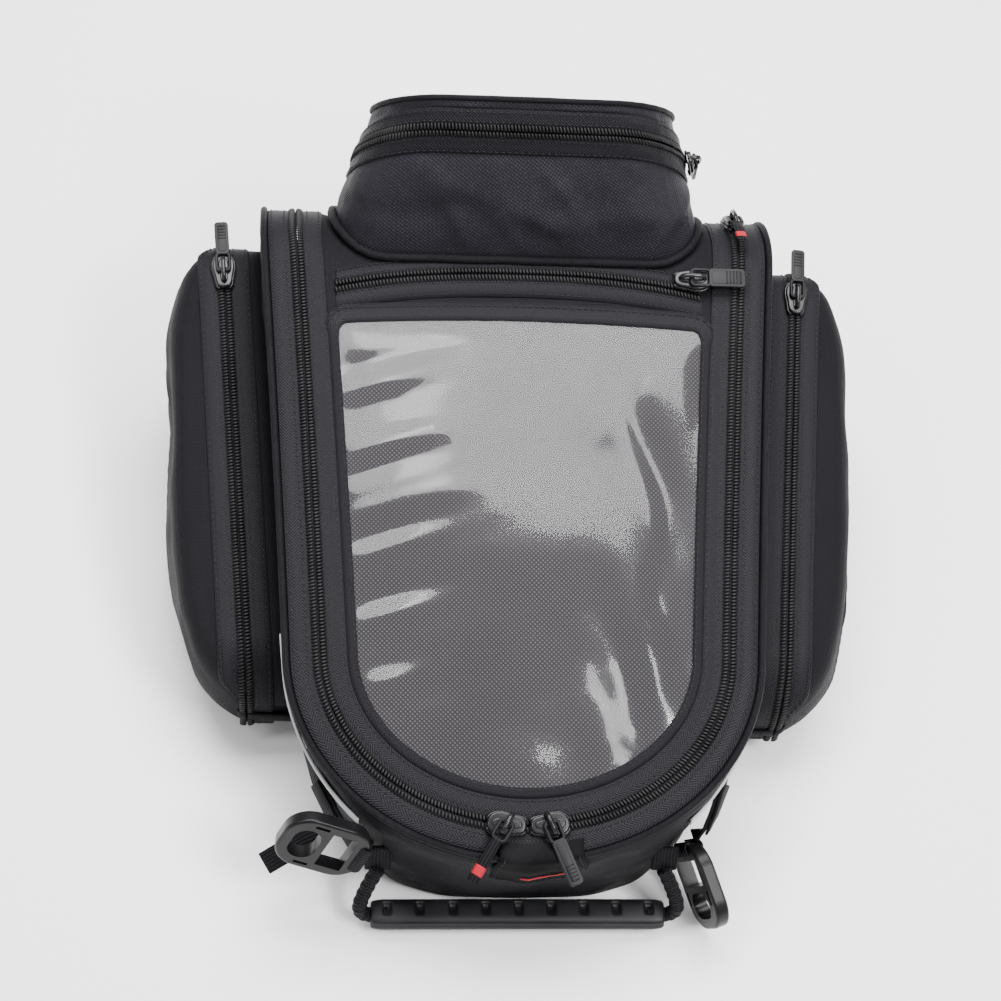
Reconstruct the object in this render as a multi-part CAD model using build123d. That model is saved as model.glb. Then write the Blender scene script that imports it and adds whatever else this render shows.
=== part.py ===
from build123d import *
from math import sin, cos, tan, radians, degrees, sqrt, atan2, pi, hypot
import os

# Motorcycle tank bag. Millimetres. X across, +Y from the rider's end to the handlebar end, +Z up.
# The base lies on z = 0. Every outline is drawn about the bag's own centre plane x = 0.

# ---- driving dimensions: main bag ----
Y_NEAR = -158.0          # chain line at the rider's end
SLOPE = 14.5             # slope of the lid, degrees
Z_NEAR = 72.0            # lid height at the chain line's near end
Y_FAR = 168.0            # far wall
R_SHOULDER = 45.0        # rounding between lid and far wall
CHAIN_A = 97.0           # half width of the arched zip
CHAIN_B = 80.0           # depth of its near arch
RIM = 17.5               # rim width outside the chain line
WALL = 4.0               # padded wall
GAP = 0.4                # clearance between lid and tub
Z_HINGE = 90.0           # fold line of the lid on the far wall
PAD_T = 2.5              # non-slip base pad
FLOOR_T = 2.4
BOARD_T = 5.0
MAGNET_R = 19.0
MAGNET_T = 3.0

# ---- zip sizes ----
TAPE_T = 0.8
COIL_T = 2.5
COIL_W = 4.6
TAPE_W = 13.0

# ---- map window ----
WIN_INSET = 15.0         # window edge inside the chain line
Y_WIN_TOP = 86.0
Y_MAPZIP = 108.0
MAP_HALF = 92.0

# ---- top pouch ----
POUCH_TILT = 25.0
POUCH_Y = 118.0
POUCH_Z = 144.5
POUCH_H = 84.0
POUCH_D = 60.0
POUCH_W = 188.0
POUCH_WT = 136.0
POUCH_R = 28.0
POUCH_WEDGE = 32.0
PART_H = 67.0            # parting line height at the pouch front
PART_TILT = 40.0
POUCH_WALL = 3.0

# ---- side pockets ----
POCKET_Z0 = 20.0
POCKET_DROP = 35.0       # pocket top below the lid plane
POCKET_Y0 = -80.0
POCKET_Y1 = 150.0
POCKET_SHIFT = 3.0       # left pocket sits this much further forward, right one this much back
CHAIN_X_NEAR = 131.0
CHAIN_X_FAR = 149.0
OUT_X_NEAR = 166.0
OUT_X_FAR = 178.0
POCKET_WALL = 3.0

# ---- hardware ----
GRIP_L = 141.0
GRIP_W = 14.0
GRIP_H = 10.0
GRIP_Y = -175.0
GRIP_Z = 9.0
WEB_R = 3.5
PIVOT_X = 68.0
PIVOT_Y = -160.0
PIVOT_Z = 34.0
RING_L = 42.0
RING_W = 34.0
RING_T = 7.0

TS = tan(radians(SLOPE))
CS = cos(radians(SLOPE))
SS = sin(radians(SLOPE))


def lid_z(y):
    return Z_NEAR + TS * (y - Y_NEAR)


# ---------------------------------------------------------------- outlines
def offset_points(pts, d):
    out = []
    n = len(pts)
    for i in range(n):
        a = pts[(i - 1) % n]
        b = pts[(i + 1) % n]
        tx = b[0] - a[0]
        ty = b[1] - a[1]
        m = hypot(tx, ty)
        out.append((pts[i][0] + d * ty / m, pts[i][1] - d * tx / m))
    return out


def chain_points():
    # counter-clockwise seen from above, from the far left corner round the near arch to the far right
    yc = Y_NEAR + CHAIN_B
    pts = [(-112.0, 235.0), (-112.0, 170.0), (-110.0, 110.0), (-105.5, 50.0), (-101.0, -15.0)]
    for i in range(13):
        a = radians(-90 + 15 * i)
        pts.append((CHAIN_A * sin(a), yc - CHAIN_B * cos(a)))
    pts += [(101.0, -15.0), (105.5, 50.0), (110.0, 110.0), (112.0, 170.0), (112.0, 235.0)]
    return pts


def chain_offset(d):
    pts = chain_points()
    n = len(pts)
    out = []
    for i in range(n):
        a = pts[max(i - 1, 0)]
        b = pts[min(i + 1, n - 1)]
        tx = b[0] - a[0]
        ty = b[1] - a[1]
        m = hypot(tx, ty)
        out.append((pts[i][0] + d * ty / m, pts[i][1] - d * tx / m))
    return out


def chain_prism(d, z0=-10.0, z1=300.0):
    pts = [(x, y, z0) for x, y in chain_offset(d)]
    wire = Wire([Spline(*pts), Line(pts[-1], pts[0])])
    return extrude(Face(wire), amount=z1 - z0, dir=(0, 0, 1))


BASE_HALF = [(0, -165), (36, -164), (60, -156.5), (77, -139), (90, -107), (99, -62), (107, 0), (114, 60),
             (120, 112), (120, 145), (112, 160), (90, 164.5), (45, 165), (0, 165)]


def mirror_half(half):
    right = half
    left = [(-x, y) for x, y in half[1:-1]][::-1]
    return [(float(x), float(y)) for x, y in right + left]


def top_half():
    yc = Y_NEAR + CHAIN_B
    a1 = CHAIN_A + RIM
    b1 = CHAIN_B + RIM
    half = []
    for ang in (0, 20, 40, 60, 80):
        half.append((a1 * sin(radians(ang)), yc - b1 * cos(radians(ang))))
    half += [(119.0, -10), (123.8, 60), (127.8, 112), (129, 148), (122, 167), (98, 173), (50, 174), (0, 174)]
    # one more point so both outlines carry the same count
    half.insert(5, (116.2, -50))
    return half


def body_loft(d, z0, top_extra):
    lower = [(x, y, z0) for x, y in offset_points(mirror_half(BASE_HALF), d)]
    upper = [(x, y, lid_z(y) + top_extra) for x, y in offset_points(mirror_half(top_half()), d)]
    f0 = Face(Wire([Spline(*lower, periodic=True)]))
    f1 = Face(Wire([Spline(*upper, periodic=True)]))
    return loft([f0, f1], ruled=True)


def top_prism(d, z0=-10.0, z1=300.0):
    pts = [(x, y, z0) for x, y in offset_points(mirror_half(top_half()), d)]
    return extrude(Face(Wire([Spline(*pts, periodic=True)])), amount=z1 - z0, dir=(0, 0, 1))


def profile_prism(t, half_width=220.0):
    # everything under the lid's side profile moved out by t
    r = R_SHOULDER + t
    yv = Y_FAR
    zv = lid_z(Y_FAR)
    turn = radians(90 + SLOPE)
    back = R_SHOULDER * tan(turn / 2)
    cy = yv - R_SHOULDER
    cz = zv - back
    p1 = (cy - r * SS, cz + r * CS)
    mid = radians((90 + SLOPE) / 2)
    p2 = (cy + r * cos(mid), cz + r * sin(mid))
    p3 = (cy + r, cz)
    y0 = -260.0
    z_start = lid_z(y0) + t / CS
    x = -half_width
    a = (x, y0, z_start)
    b = (x, p1[0], p1[1])
    m = (x, p2[0], p2[1])
    c = (x, p3[0], p3[1])
    d = (x, p3[0], -60.0)
    e = (x, y0, -60.0)
    wire = Wire([Line(a, b), ThreePointArc(b, m, c), Line(c, d), Line(d, e), Line(e, a)])
    return extrude(Face(wire), amount=2 * half_width, dir=(1, 0, 0))


def layer(t0, t1):
    return profile_prism(t1) - profile_prism(t0)


def yz_prism(points, x0, x1):
    pts = [(x0, y, z) for y, z in points]
    face = Face(Wire.make_polygon(pts, close=True))
    return extrude(face, amount=x1 - x0, dir=(1, 0, 0))


def block(x0, x1, y0, y1, z0, z1):
    return Pos((x0 + x1) / 2, (y0 + y1) / 2, (z0 + z1) / 2) * Box(x1 - x0, y1 - y0, z1 - z0)


NODES = {}


def keep(name, shape):
    solids = [s for s in shape.solids() if s.volume > 4.0]
    solids.sort(key=lambda s: -s.volume)
    NODES[name] = solids[0] if len(solids) == 1 else Compound(solids)
    NODES[name].label = name


# ---------------------------------------------------------------- tub and lid
outer = body_loft(0.0, PAD_T + 0.1, 4.0) & profile_prism(0.0)
cavity = body_loft(-WALL, PAD_T + 0.1 + FLOOR_T, 4.0) & profile_prism(-WALL)
shell = outer - cavity

# the lid's zone: inside the chain line, just deeper than the panel, and down the far wall to the fold
tub_zone = chain_prism(GAP / 2) - profile_prism(-WALL - 5.5) - block(-220, 220, 100, 240, -60, Z_HINGE)
lid_zone = chain_prism(-GAP / 2) - profile_prism(-WALL - 5.0) - block(-220, 220, 100, 240, -60, Z_HINGE + GAP)

tub = shell - tub_zone
lid = shell & lid_zone

keep("tub_shell", tub)
keep("lid_shell", lid)

upper_only = block(-220, 220, -240, 240, 52, 300) - block(-220, 220, 150, 240, 0, Z_HINGE + 12.0)


def ring_band(d0, d1, t0, t1, clip=None):
    part = (layer(t0, t1) & (chain_prism(d1) - chain_prism(d0))) & upper_only
    if clip is not None:
        part = part & clip
    return part


keep("outer_zip_tape", ring_band(COIL_W + 0.4, TAPE_W, 0.05, TAPE_T, top_prism(0.0)))
keep("outer_zip_coil", ring_band(0.25, COIL_W, 0.05, COIL_T, top_prism(0.0)))
keep("tub_piping", ring_band(TAPE_W + 0.8, RIM - 0.4, 0.05, 3.2, top_prism(0.0)))
keep("inner_zip_coil", ring_band(-COIL_W, -0.25, 0.05, COIL_T))
keep("inner_zip_tape", ring_band(-TAPE_W, -COIL_W - 0.4, 0.05, TAPE_T))

# ---------------------------------------------------------------- map window on the lid
win = chain_prism(-WIN_INSET) & block(-220, 220, -230, Y_WIN_TOP, 30, 300)
win_in = chain_prism(-WIN_INSET - 5.0) & block(-220, 220, -230, Y_WIN_TOP - 5.0, 30, 300)
keep("window_backing", layer(0.05, 0.8) & win)
keep("window_pvc", layer(5.2, 6.2) & win_in)
keep("window_binding", layer(0.9, 6.2) & (win - (chain_prism(-WIN_INSET - 4.7)
                                               & block(-220, 220, -230, Y_WIN_TOP - 4.7, 30, 300))))
keep("map_zip_tape", layer(0.05, TAPE_T) & block(-MAP_HALF, MAP_HALF, Y_MAPZIP - 14, Y_MAPZIP + 9, 0, 300)
     - block(-MAP_HALF + 4, MAP_HALF - 4, Y_MAPZIP - 5, Y_MAPZIP + 5, 0, 300))
keep("map_zip_coil", layer(0.05, COIL_T)
     & block(-MAP_HALF + 4.3, MAP_HALF - 4.3, Y_MAPZIP - 4.7, Y_MAPZIP + 4.7, 0, 300))

# ---------------------------------------------------------------- base
pad = body_loft(-5.0, 0.0, 4.0) & block(-220, 220, -240, 240, 0, PAD_T)
keep("base_pad", pad)
Z_B0 = PAD_T + 0.1 + FLOOR_T + 0.1
board = body_loft(-WALL - 2.0, 1.0, 4.0) & block(-220, 220, -240, 240, Z_B0, Z_B0 + BOARD_T)
MAGNETS = [(-52, -95), (52, -95), (-72, 95), (72, 95)]
discs = []
for mx, my in MAGNETS:
    board = board - Pos(mx, my, Z_B0 + (MAGNET_T + 0.3) / 2 - 0.01) * Cylinder(MAGNET_R + 0.3, MAGNET_T + 0.3)
    discs.append(Pos(mx, my, Z_B0 + 0.15 + MAGNET_T / 2) * Cylinder(MAGNET_R, MAGNET_T))
keep("base_board", board)
keep("base_magnets", Compound(discs))

# ---------------------------------------------------------------- reflective strips and label
strip_zone = yz_prism([(-152, lid_z(-152) - 17), (-66, lid_z(-66) - 17), (-66, lid_z(-66) - 13),
                       (-152, lid_z(-152) - 13)], -220, 220)
strip_skin = (body_loft(1.2, PAD_T, 4.0) - body_loft(0.3, PAD_T - 1, 5.0)) & strip_zone
keep("reflective_strip_left", strip_skin & block(-220, -60, -240, 240, 0, 300))
keep("reflective_strip_right", strip_skin & block(60, 220, -240, 240, 0, 300))
label_wall = (body_loft(3.6, PAD_T, 6.0) - body_loft(2.4, PAD_T - 1, 9.0)) & block(-16, 26, -240, -120, 42, 62)
label_top = (layer(3.4, 4.6) & block(-16, 26, Y_NEAR - RIM - 5.0, Y_NEAR - 8.0, 40, 90))
label_fold = (body_loft(3.6, PAD_T, 12.0) - body_loft(2.4, PAD_T - 1, 13.0)) & block(-16, 26, -240, -120, 60, 90)
label_fold = label_fold & profile_prism(4.6)
keep("label_patch", label_wall + label_fold + label_top)

# ---------------------------------------------------------------- side pockets


def pocket_outline(side, d, x_in_extra=0.0):
    # closed outline of one pocket: follows the tub's side, rounded at both ends
    sh = POCKET_SHIFT if side < 0 else -POCKET_SHIFT
    y0 = POCKET_Y0 + sh
    y1 = POCKET_Y1 + sh
    span = y1 - y0
    rows = []
    for f, k in ((0.0, 0.56), (0.025, 0.74), (0.08, 0.87), (0.2, 0.965), (0.4, 1.0), (0.6, 1.0), (0.8, 0.975),
                 (0.92, 0.88), (0.975, 0.74), (1.0, 0.56)):
        y = y0 + span * f
        xo = OUT_X_NEAR + (OUT_X_FAR - OUT_X_NEAR) * f
        xi = 95.0
        rows.append((xi + (xo - xi) * k, y))
    pts = [(60.0, y0)] + rows + [(60.0, y1)]
    return pts


def pocket_solid(side, d, z_drop):
    pts = pocket_outline(side, d)
    n = len(pts)
    out = []
    for i in range(n):
        a = pts[max(i - 1, 0)]
        b = pts[min(i + 1, n - 1)]
        tx = b[0] - a[0]
        ty = b[1] - a[1]
        m = hypot(tx, ty)
        out.append((side * (pts[i][0] + d * ty / m), pts[i][1] - d * tx / m, -10.0))
    wire = Wire([Spline(*out), Line(out[-1], out[0])])
    prism = extrude(Face(wire), amount=260, dir=(0, 0, 1))
    sh = POCKET_SHIFT if side < 0 else -POCKET_SHIFT
    cap = yz_prism([(-240, POCKET_Z0 - d), (240, POCKET_Z0 - d), (240, lid_z(240) - POCKET_DROP + d),
                    (-240, lid_z(-240) - POCKET_DROP + d)], -240, 240)
    return prism & cap


tub_clear = body_loft(0.3, PAD_T - 1, 4.0)


def pocket_split(side, gap):
    # everything outboard of the chain line
    xa = CHAIN_X_NEAR
    xb = CHAIN_X_FAR
    k = (xb - xa) / (POCKET_Y1 - POCKET_Y0)
    ya = -240.0
    yb = 240.0
    xs_a = xa + k * (ya - POCKET_Y0) + gap
    xs_b = xa + k * (yb - POCKET_Y0) + gap
    pts = [(side * xs_a, ya, -20), (side * 260, ya, -20), (side * 260, yb, -20), (side * xs_b, yb, -20)]
    return extrude(Face(Wire.make_polygon(pts, close=True)), amount=300, dir=(0, 0, 1))


def pocket_strip(side, d0, d1, t0, t1):
    # strip on the pocket's top face, between two lines parallel to the chain
    zone = pocket_split(side, d0) - pocket_split(side, d1)
    top = pocket_solid(side, t1, 0) - pocket_solid(side, t0, 0)
    lift = yz_prism([(-240, lid_z(-240) - POCKET_DROP + t0), (240, lid_z(240) - POCKET_DROP + t0), (240, 320),
                     (-240, 320)], -240, 240)
    sh = POCKET_SHIFT if side < 0 else -POCKET_SHIFT
    y0 = POCKET_Y0 + sh + 7.0
    y1 = POCKET_Y1 + sh - 7.0
    ends = block(-260, 260, y0, y1, -20, 320)
    return top & zone & lift & ends


for side, name in ((-1, "left"), (1, "right")):
    full = pocket_solid(side, 0.0, 0)
    hollow = pocket_solid(side, -POCKET_WALL, 0)
    skin = full - hollow
    out_zone = pocket_split(side, 0.0)
    back = (body_loft(2.6, PAD_T - 1, 9.0) & full)
    inner_part = (skin + back) - pocket_split(side, -0.3) - tub_clear
    flap = skin & pocket_split(side, 0.3)
    keep("pocket_" + name + "_back", inner_part)
    keep("pocket_" + name + "_flap", flap)
    keep("pocket_" + name + "_tape_in", (pocket_strip(side, -13.0, -COIL_W - 0.4, 0.05, TAPE_T)) - tub_clear)
    keep("pocket_" + name + "_tape_out", pocket_strip(side, COIL_W + 0.4, 13.0, 0.05, TAPE_T))
    keep("pocket_" + name + "_coil_in", pocket_strip(side, -COIL_W, -0.25, 0.05, COIL_T))
    keep("pocket_" + name + "_coil_out", pocket_strip(side, 0.25, COIL_W, 0.05, COIL_T))

# ---------------------------------------------------------------- top pouch
PT = radians(POUCH_TILT)
U_DIR = (sin(PT), cos(PT))
D_DIR = (cos(PT), -sin(PT))


def pouch_yz(depth, height):
    return (POUCH_Y + depth * D_DIR[0] + height * U_DIR[0], POUCH_Z + depth * D_DIR[1] + height * U_DIR[1])


def pouch_face(h, d):
    w = POUCH_W - (POUCH_W - POUCH_WT) * h / POUCH_H
    y, z = pouch_yz(POUCH_D / 2, h)
    plane = Plane(origin=(0, y, z), x_dir=(1, 0, 0), z_dir=(0, U_DIR[0], U_DIR[1]))
    return plane * RectangleRounded(w + 2 * d, POUCH_D + 2 * d, POUCH_R + d)


def pouch_loft(d):
    return loft([pouch_face(-50, d), pouch_face(100, d)], ruled=True)


def pouch_poly(pts):
    return yz_prism([pouch_yz(a, b) for a, b in pts], -160, 160)


TW = tan(radians(POUCH_WEDGE))
TP = tan(radians(PART_TILT))


def below_top(t):
    return pouch_poly([(-60, POUCH_H + 60 * TW + t), (160, POUCH_H - 160 * TW + t), (160, -190), (-60, -190)])


def below_part(t):
    return pouch_poly([(-60, PART_H + 60 * TP + t), (160, PART_H - 160 * TP + t), (160, -190), (-60, -190)])


pouch_full = (pouch_loft(0.0) & below_top(0.0)) - profile_prism(1.0)
pouch_hollow = (pouch_loft(-POUCH_WALL) & below_top(-POUCH_WALL)) - profile_prism(3.6)
pouch_shell = pouch_full - pouch_hollow
keep("pouch_body", pouch_shell & below_part(-0.2))
keep("pouch_lid_shell", pouch_shell - below_part(0.2))
not_back = pouch_poly([(-60, -100), (POUCH_D - 8, -100), (POUCH_D - 8, 160), (-60, 160)])


def pouch_band(h0, h1, t0, t1):
    return ((pouch_loft(t1) - pouch_loft(t0)) & (below_part(h1) - below_part(h0))) & not_back


keep("pouch_lower_coil", pouch_band(-COIL_W, -0.25, 0.05, COIL_T))
keep("pouch_lower_tape", pouch_band(-12.0, -COIL_W - 0.4, 0.05, TAPE_T))
keep("pouch_upper_coil", pouch_band(0.25, COIL_W, 0.05, COIL_T))
keep("pouch_upper_tape", pouch_band(COIL_W + 0.4, 10.5, 0.05, TAPE_T))
keep("pouch_base_piping", ((pouch_loft(3.6) - pouch_loft(0.15)) & (profile_prism(5.5) - profile_prism(1.0)))
     & pouch_poly([(-60, -100), (POUCH_D - 6, -100), (POUCH_D - 6, 60), (-60, 60)]))
keep("pouch_top_piping", ((pouch_loft(2.4) - pouch_loft(0.15)) & (below_top(0.8) - below_top(-2.4)))
     - below_part(11.2))

# ---------------------------------------------------------------- hardware helpers


def frame_at(origin, along, up):
    # along becomes local +X, up becomes local +Z
    return Plane(origin=origin, x_dir=along, z_dir=up)


S_LEN = 19.0
S_W = 11.6
S_T = 2.4
PIN_Z = 3.9 + S_T
P_LEN = 30.0


def slider_body(turn, rail_len):
    # local frame: +X along the zip, +Z out of the tape, z = 0 just above the coil
    half = [(-S_LEN / 2, 0), (-S_LEN / 2 + 1.5, S_W * 0.34), (-1.5, S_W * 0.42), (3.5, S_W / 2),
            (S_LEN / 2 - 2.0, S_W * 0.40), (S_LEN / 2, 0)]
    pts = half + [(x, -y) for x, y in half[1:-1]][::-1]
    plate = extrude(Face(Wire.make_polygon([(x, y, 0) for x, y in pts], close=True)), amount=S_T, dir=(0, 0, 1))
    # bridge over the plate, turned to the side its puller hangs to
    rail = Pos(0, 0, S_T + 2.1) * Box(rail_len, 2.6, 4.6)
    hole = Pos(0, 0, S_T + 1.6) * Box(rail_len - 4.6, 4.0, 2.9)
    return plate + Rot(0, 0, turn) * (rail - hole)


def puller_body(length, width, thick, slot):
    # local frame: pivot on the origin, blade towards +X, thickness in Z
    blade = Pos(length / 2 - 0.85, 0, 0) * Box(length, width, thick)
    blade = fillet(blade.edges().filter_by(Axis.Z), 0.6)
    window = Pos(slot / 2 + 0.85, 0, 0) * Box(slot, 3.9, thick * 3)
    body = blade - window
    for i in range(4):
        rib = Pos(length - 5.0 - i * 2.2, 0, thick / 2 + 0.25) * Box(0.9, width - 2.0, 0.7)
        body = body + rib
    return body


def place(shape, origin, along, up):
    return frame_at(origin, along, up).location * shape


def norm(v):
    m = sqrt(sum(c * c for c in v))
    return tuple(c / m for c in v)


def rotate_about(v, axis, deg):
    a = radians(deg)
    k = norm(axis)
    d = sum(v[i] * k[i] for i in range(3))
    c = (k[1] * v[2] - k[2] * v[1], k[2] * v[0] - k[0] * v[2], k[0] * v[1] - k[1] * v[0])
    return tuple(v[i] * cos(a) + c[i] * sin(a) + k[i] * d * (1 - cos(a)) for i in range(3))


INFO = {}


def add_zip_pull(name, origin, along, up, pull_dir, tilt, length=P_LEN, width=7.6, cross=False):
    # slider on the coil, and its puller turning on the slider's bridge
    along = norm(along)
    up = norm(up)
    side = norm(pull_dir)
    across = (up[1] * along[2] - up[2] * along[1], up[2] * along[0] - up[0] * along[2],
              up[0] * along[1] - up[1] * along[0])
    turn = degrees(atan2(sum(side[i] * across[i] for i in range(3)), sum(side[i] * along[i] for i in range(3))))
    body = slider_body(turn, 10.4 if cross else 12.4)
    keep("slider_" + name, place(body, origin, along, up))
    pin = tuple(origin[i] + up[i] * (S_T + 1.55) for i in range(3))
    axis = (up[1] * side[2] - up[2] * side[1], up[2] * side[0] - up[0] * side[2], up[0] * side[1] - up[1] * side[0])
    axis = norm(axis)
    blade_dir = rotate_about(side, axis, -tilt)
    blade_up = rotate_about(up, axis, -tilt)
    keep("puller_" + name, place(puller_body(length, width, 1.7, 6.2), pin, blade_dir, blade_up))
    INFO["puller_" + name] = (pin, tuple(-c for c in axis))
    INFO["slider_" + name] = (origin, along, up)


N_LID = (0.0, -SS, CS)
T_LID = (0.0, CS, SS)
SIT = COIL_T + 0.3


def on_lid(x, y, t=SIT):
    return (x, y - t * SS, lid_z(y) + t * CS)


# main sliders ride round the near arch about its centre of curvature
R_ARC = CHAIN_A ** 2 / CHAIN_B
ARC_C = (0.0, Y_NEAR + R_ARC * CS)


def on_arc(deg, t=SIT):
    a = radians(deg)
    x = R_ARC * sin(a)
    s = -R_ARC * cos(a)
    y = Y_NEAR + (R_ARC + s) * CS
    return (x, y - t * SS, Z_NEAR + (R_ARC + s) * SS + t * CS), (cos(a), sin(a) * CS, sin(a) * SS)


p_l, t_l = on_arc(-5.2)
p_r, t_r = on_arc(4.6)
PULL_L = norm((-0.52, -0.85 * CS, -0.85 * SS))
PULL_R = norm((0.40, -0.92 * CS, -0.92 * SS))
add_zip_pull("main_left", p_l, tuple(-c for c in t_l), N_LID, PULL_L, -2.0, 31.0, cross=True)
add_zip_pull("main_right", p_r, t_r, N_LID, PULL_R, -2.0, 31.0, cross=True)
add_zip_pull("map", on_lid(86.0, Y_MAPZIP), (1, 0, 0), N_LID, (1, 0, 0), 0.0, 27.0, 9.0)

# pouch slider, at the right-hand front corner of the pouch zip
yp, zp = pouch_yz(POUCH_D / 2 + 2, PART_H - (POUCH_D / 2 + 2) * TP)
w_at = POUCH_W - (POUCH_W - POUCH_WT) * (PART_H - POUCH_D / 2 * TP) / POUCH_H
lean = atan2((POUCH_W - POUCH_WT) / 2, POUCH_H)
p_dir = norm((0.0, cos(PT + radians(PART_TILT)), -sin(PT + radians(PART_TILT))))
p_up = norm((cos(lean), sin(lean) * U_DIR[0], sin(lean) * U_DIR[1]))
dot = sum(p_dir[i] * p_up[i] for i in range(3))
p_dir = norm(tuple(p_dir[i] - dot * p_up[i] for i in range(3)))
p_org = (w_at / 2 + SIT / cos(lean) + 0.7, yp, zp)
add_zip_pull("pouch", p_org, p_dir, p_up, p_dir, -4.0, 27.0)

# side pocket sliders at the far end of their gussets
for side, name in ((-1, "pocket_left"), (1, "pocket_right")):
    k = (CHAIN_X_FAR - CHAIN_X_NEAR) / (POCKET_Y1 - POCKET_Y0)
    sh = POCKET_SHIFT if side < 0 else -POCKET_SHIFT
    ys = POCKET_Y1 + sh - 24.0
    xs = CHAIN_X_NEAR + k * (ys - POCKET_Y0)
    org = (side * xs, ys - SIT * SS, lid_z(ys) - POCKET_DROP + SIT * CS)
    al = norm((side * k, CS, SS))
    dd = sum(al[i] * N_LID[i] for i in range(3))
    al = norm(tuple(al[i] - dd * N_LID[i] for i in range(3)))
    add_zip_pull(name, org, al, N_LID, al, -4.0, 27.0)

# rear slider, over the right shoulder
ra = radians(58.0)
rr = R_SHOULDER + SIT
rcy = Y_FAR - R_SHOULDER
rcz = lid_z(Y_FAR) - R_SHOULDER * tan(radians(90 + SLOPE) / 2)
org = (111.6, rcy + rr * cos(ra), rcz + rr * sin(ra))
add_zip_pull("rear", org, (0, sin(ra), -cos(ra)), (0, cos(ra), sin(ra)), (0, -sin(ra), cos(ra)), 0.0, 27.0)

# ---------------------------------------------------------------- straps, rings and handle


def strap(p0, p1, width, thick, up):
    d = tuple(p1[i] - p0[i] for i in range(3))
    length = sqrt(sum(c * c for c in d))
    mid = tuple((p0[i] + p1[i]) / 2 for i in range(3))
    along = norm(d)
    dd = sum(up[i] * along[i] for i in range(3))
    u = norm(tuple(up[i] - dd * along[i] for i in range(3)))
    return place(Box(length, width, thick), mid, along, u)


def ring_solid():
    # local frame: bar along Y through the origin, ring body towards +X, thickness in Z
    body = Pos(RING_L / 2 - 4.0, 0, 0) * extrude(RectangleRounded(RING_L, RING_W, 13.0), amount=RING_T / 2, both=True)
    slot = Pos(10.0, 0, 0) * Box(12.6, 23.0, 20)
    hole = Pos(26.2, 0, 0) * extrude(SlotOverall(20.0, 13.0, rotation=90), amount=10, both=True)
    body = body - slot - hole
    for sy in (-1, 1):
        body = body - Pos(22.5, sy * 13.3, 0) * Box(7.0, 1.6, 20)
    try:
        body = fillet(body.faces().sort_by(Axis.Z)[-1].outer_wire().edges(), 1.4)
        body = fillet(body.faces().sort_by(Axis.Z)[0].outer_wire().edges(), 1.4)
    except Exception:
        pass
    return body


RINGS = {
    "left": ((-78.5, -162.0, 51.0), norm((-0.92, 0.12, 0.37)), norm((0.08, -0.97, 0.20))),
    "right": ((81.5, -152.5, 32.0), norm((0.34, -0.85, -0.40)), norm((0.93, 0.33, -0.05))),
}
for name, (org, out, up) in RINGS.items():
    dd = sum(out[i] * up[i] for i in range(3))
    up = norm(tuple(up[i] - dd * out[i] for i in range(3)))
    keep("d_ring_" + name, place(ring_solid(), org, out, up))
    bar = norm((up[1] * out[2] - up[2] * out[1], up[2] * out[0] - up[0] * out[2], up[0] * out[1] - up[1] * out[0]))
    INFO["d_ring_" + name] = (org, bar, out, up)

for side, name in ((-1, "left"), (1, "right")):
    p0 = (side * 105.0, -112.0, 58.0)
    p1 = (side * 95.0, -143.0, 40.0)
    keep("strap_anchor_" + name, strap(p0, p1, 11.0, 2.6, (side * 0.86, -0.5, 0.1)) - tub_clear)

# handle: rubber grip over a rolled web that runs to both corners
ends = []
path_pts = [(-PIVOT_X, PIVOT_Y - 2.5, PIVOT_Z), (-PIVOT_X - 5.0, PIVOT_Y - 8.5, PIVOT_Z - 9.0),
            (-PIVOT_X - 8.0, GRIP_Y + 1.0, GRIP_Z + 7.5), (-GRIP_L / 2 - 2.0, GRIP_Y, GRIP_Z + 0.5)]
path_l = Spline(*path_pts)
path_r = Spline(*[(-x, y, z) for x, y, z in path_pts])


def tube(path, r):
    start = path @ 0
    direction = path % 0
    return sweep(Plane(origin=start, z_dir=direction) * Circle(r), path=path)


core = Pos(0, GRIP_Y, GRIP_Z + 0.5) * (Rot(0, 90, 0) * Cylinder(WEB_R, GRIP_L + 4.0))
web = core.solid()
for path in (path_l, path_r):
    web = web.fuse(tube(path, WEB_R).solid())
keep("handle_web", web)

grip = Pos(0, GRIP_Y, GRIP_Z) * Box(GRIP_L, GRIP_W, GRIP_H)
grip = fillet(grip.edges().filter_by(Axis.X), 3.0)
grip = grip - Pos(0, GRIP_Y, GRIP_Z + 0.5) * (Rot(0, 90, 0) * Cylinder(WEB_R + 0.15, GRIP_L + 20))
for i in range(9):
    gx = (i - 4) * 15.7
    grip = grip - Pos(gx, GRIP_Y, GRIP_Z + GRIP_H / 2) * Box(3.4, GRIP_W - 6.0, 2.4)
keep("handle_grip", grip)

# ---------------------------------------------------------------- centre the whole bag and write it
everything = Compound(list(NODES.values()))
bb = everything.bounding_box()
move = (-(bb.min.X + bb.max.X) / 2, -(bb.min.Y + bb.max.Y) / 2, -bb.min.Z)
os.makedirs("parts", exist_ok=True)
for name, shape in NODES.items():
    export_step(shape.moved(Location(move)), "parts/" + name + ".step")
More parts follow.
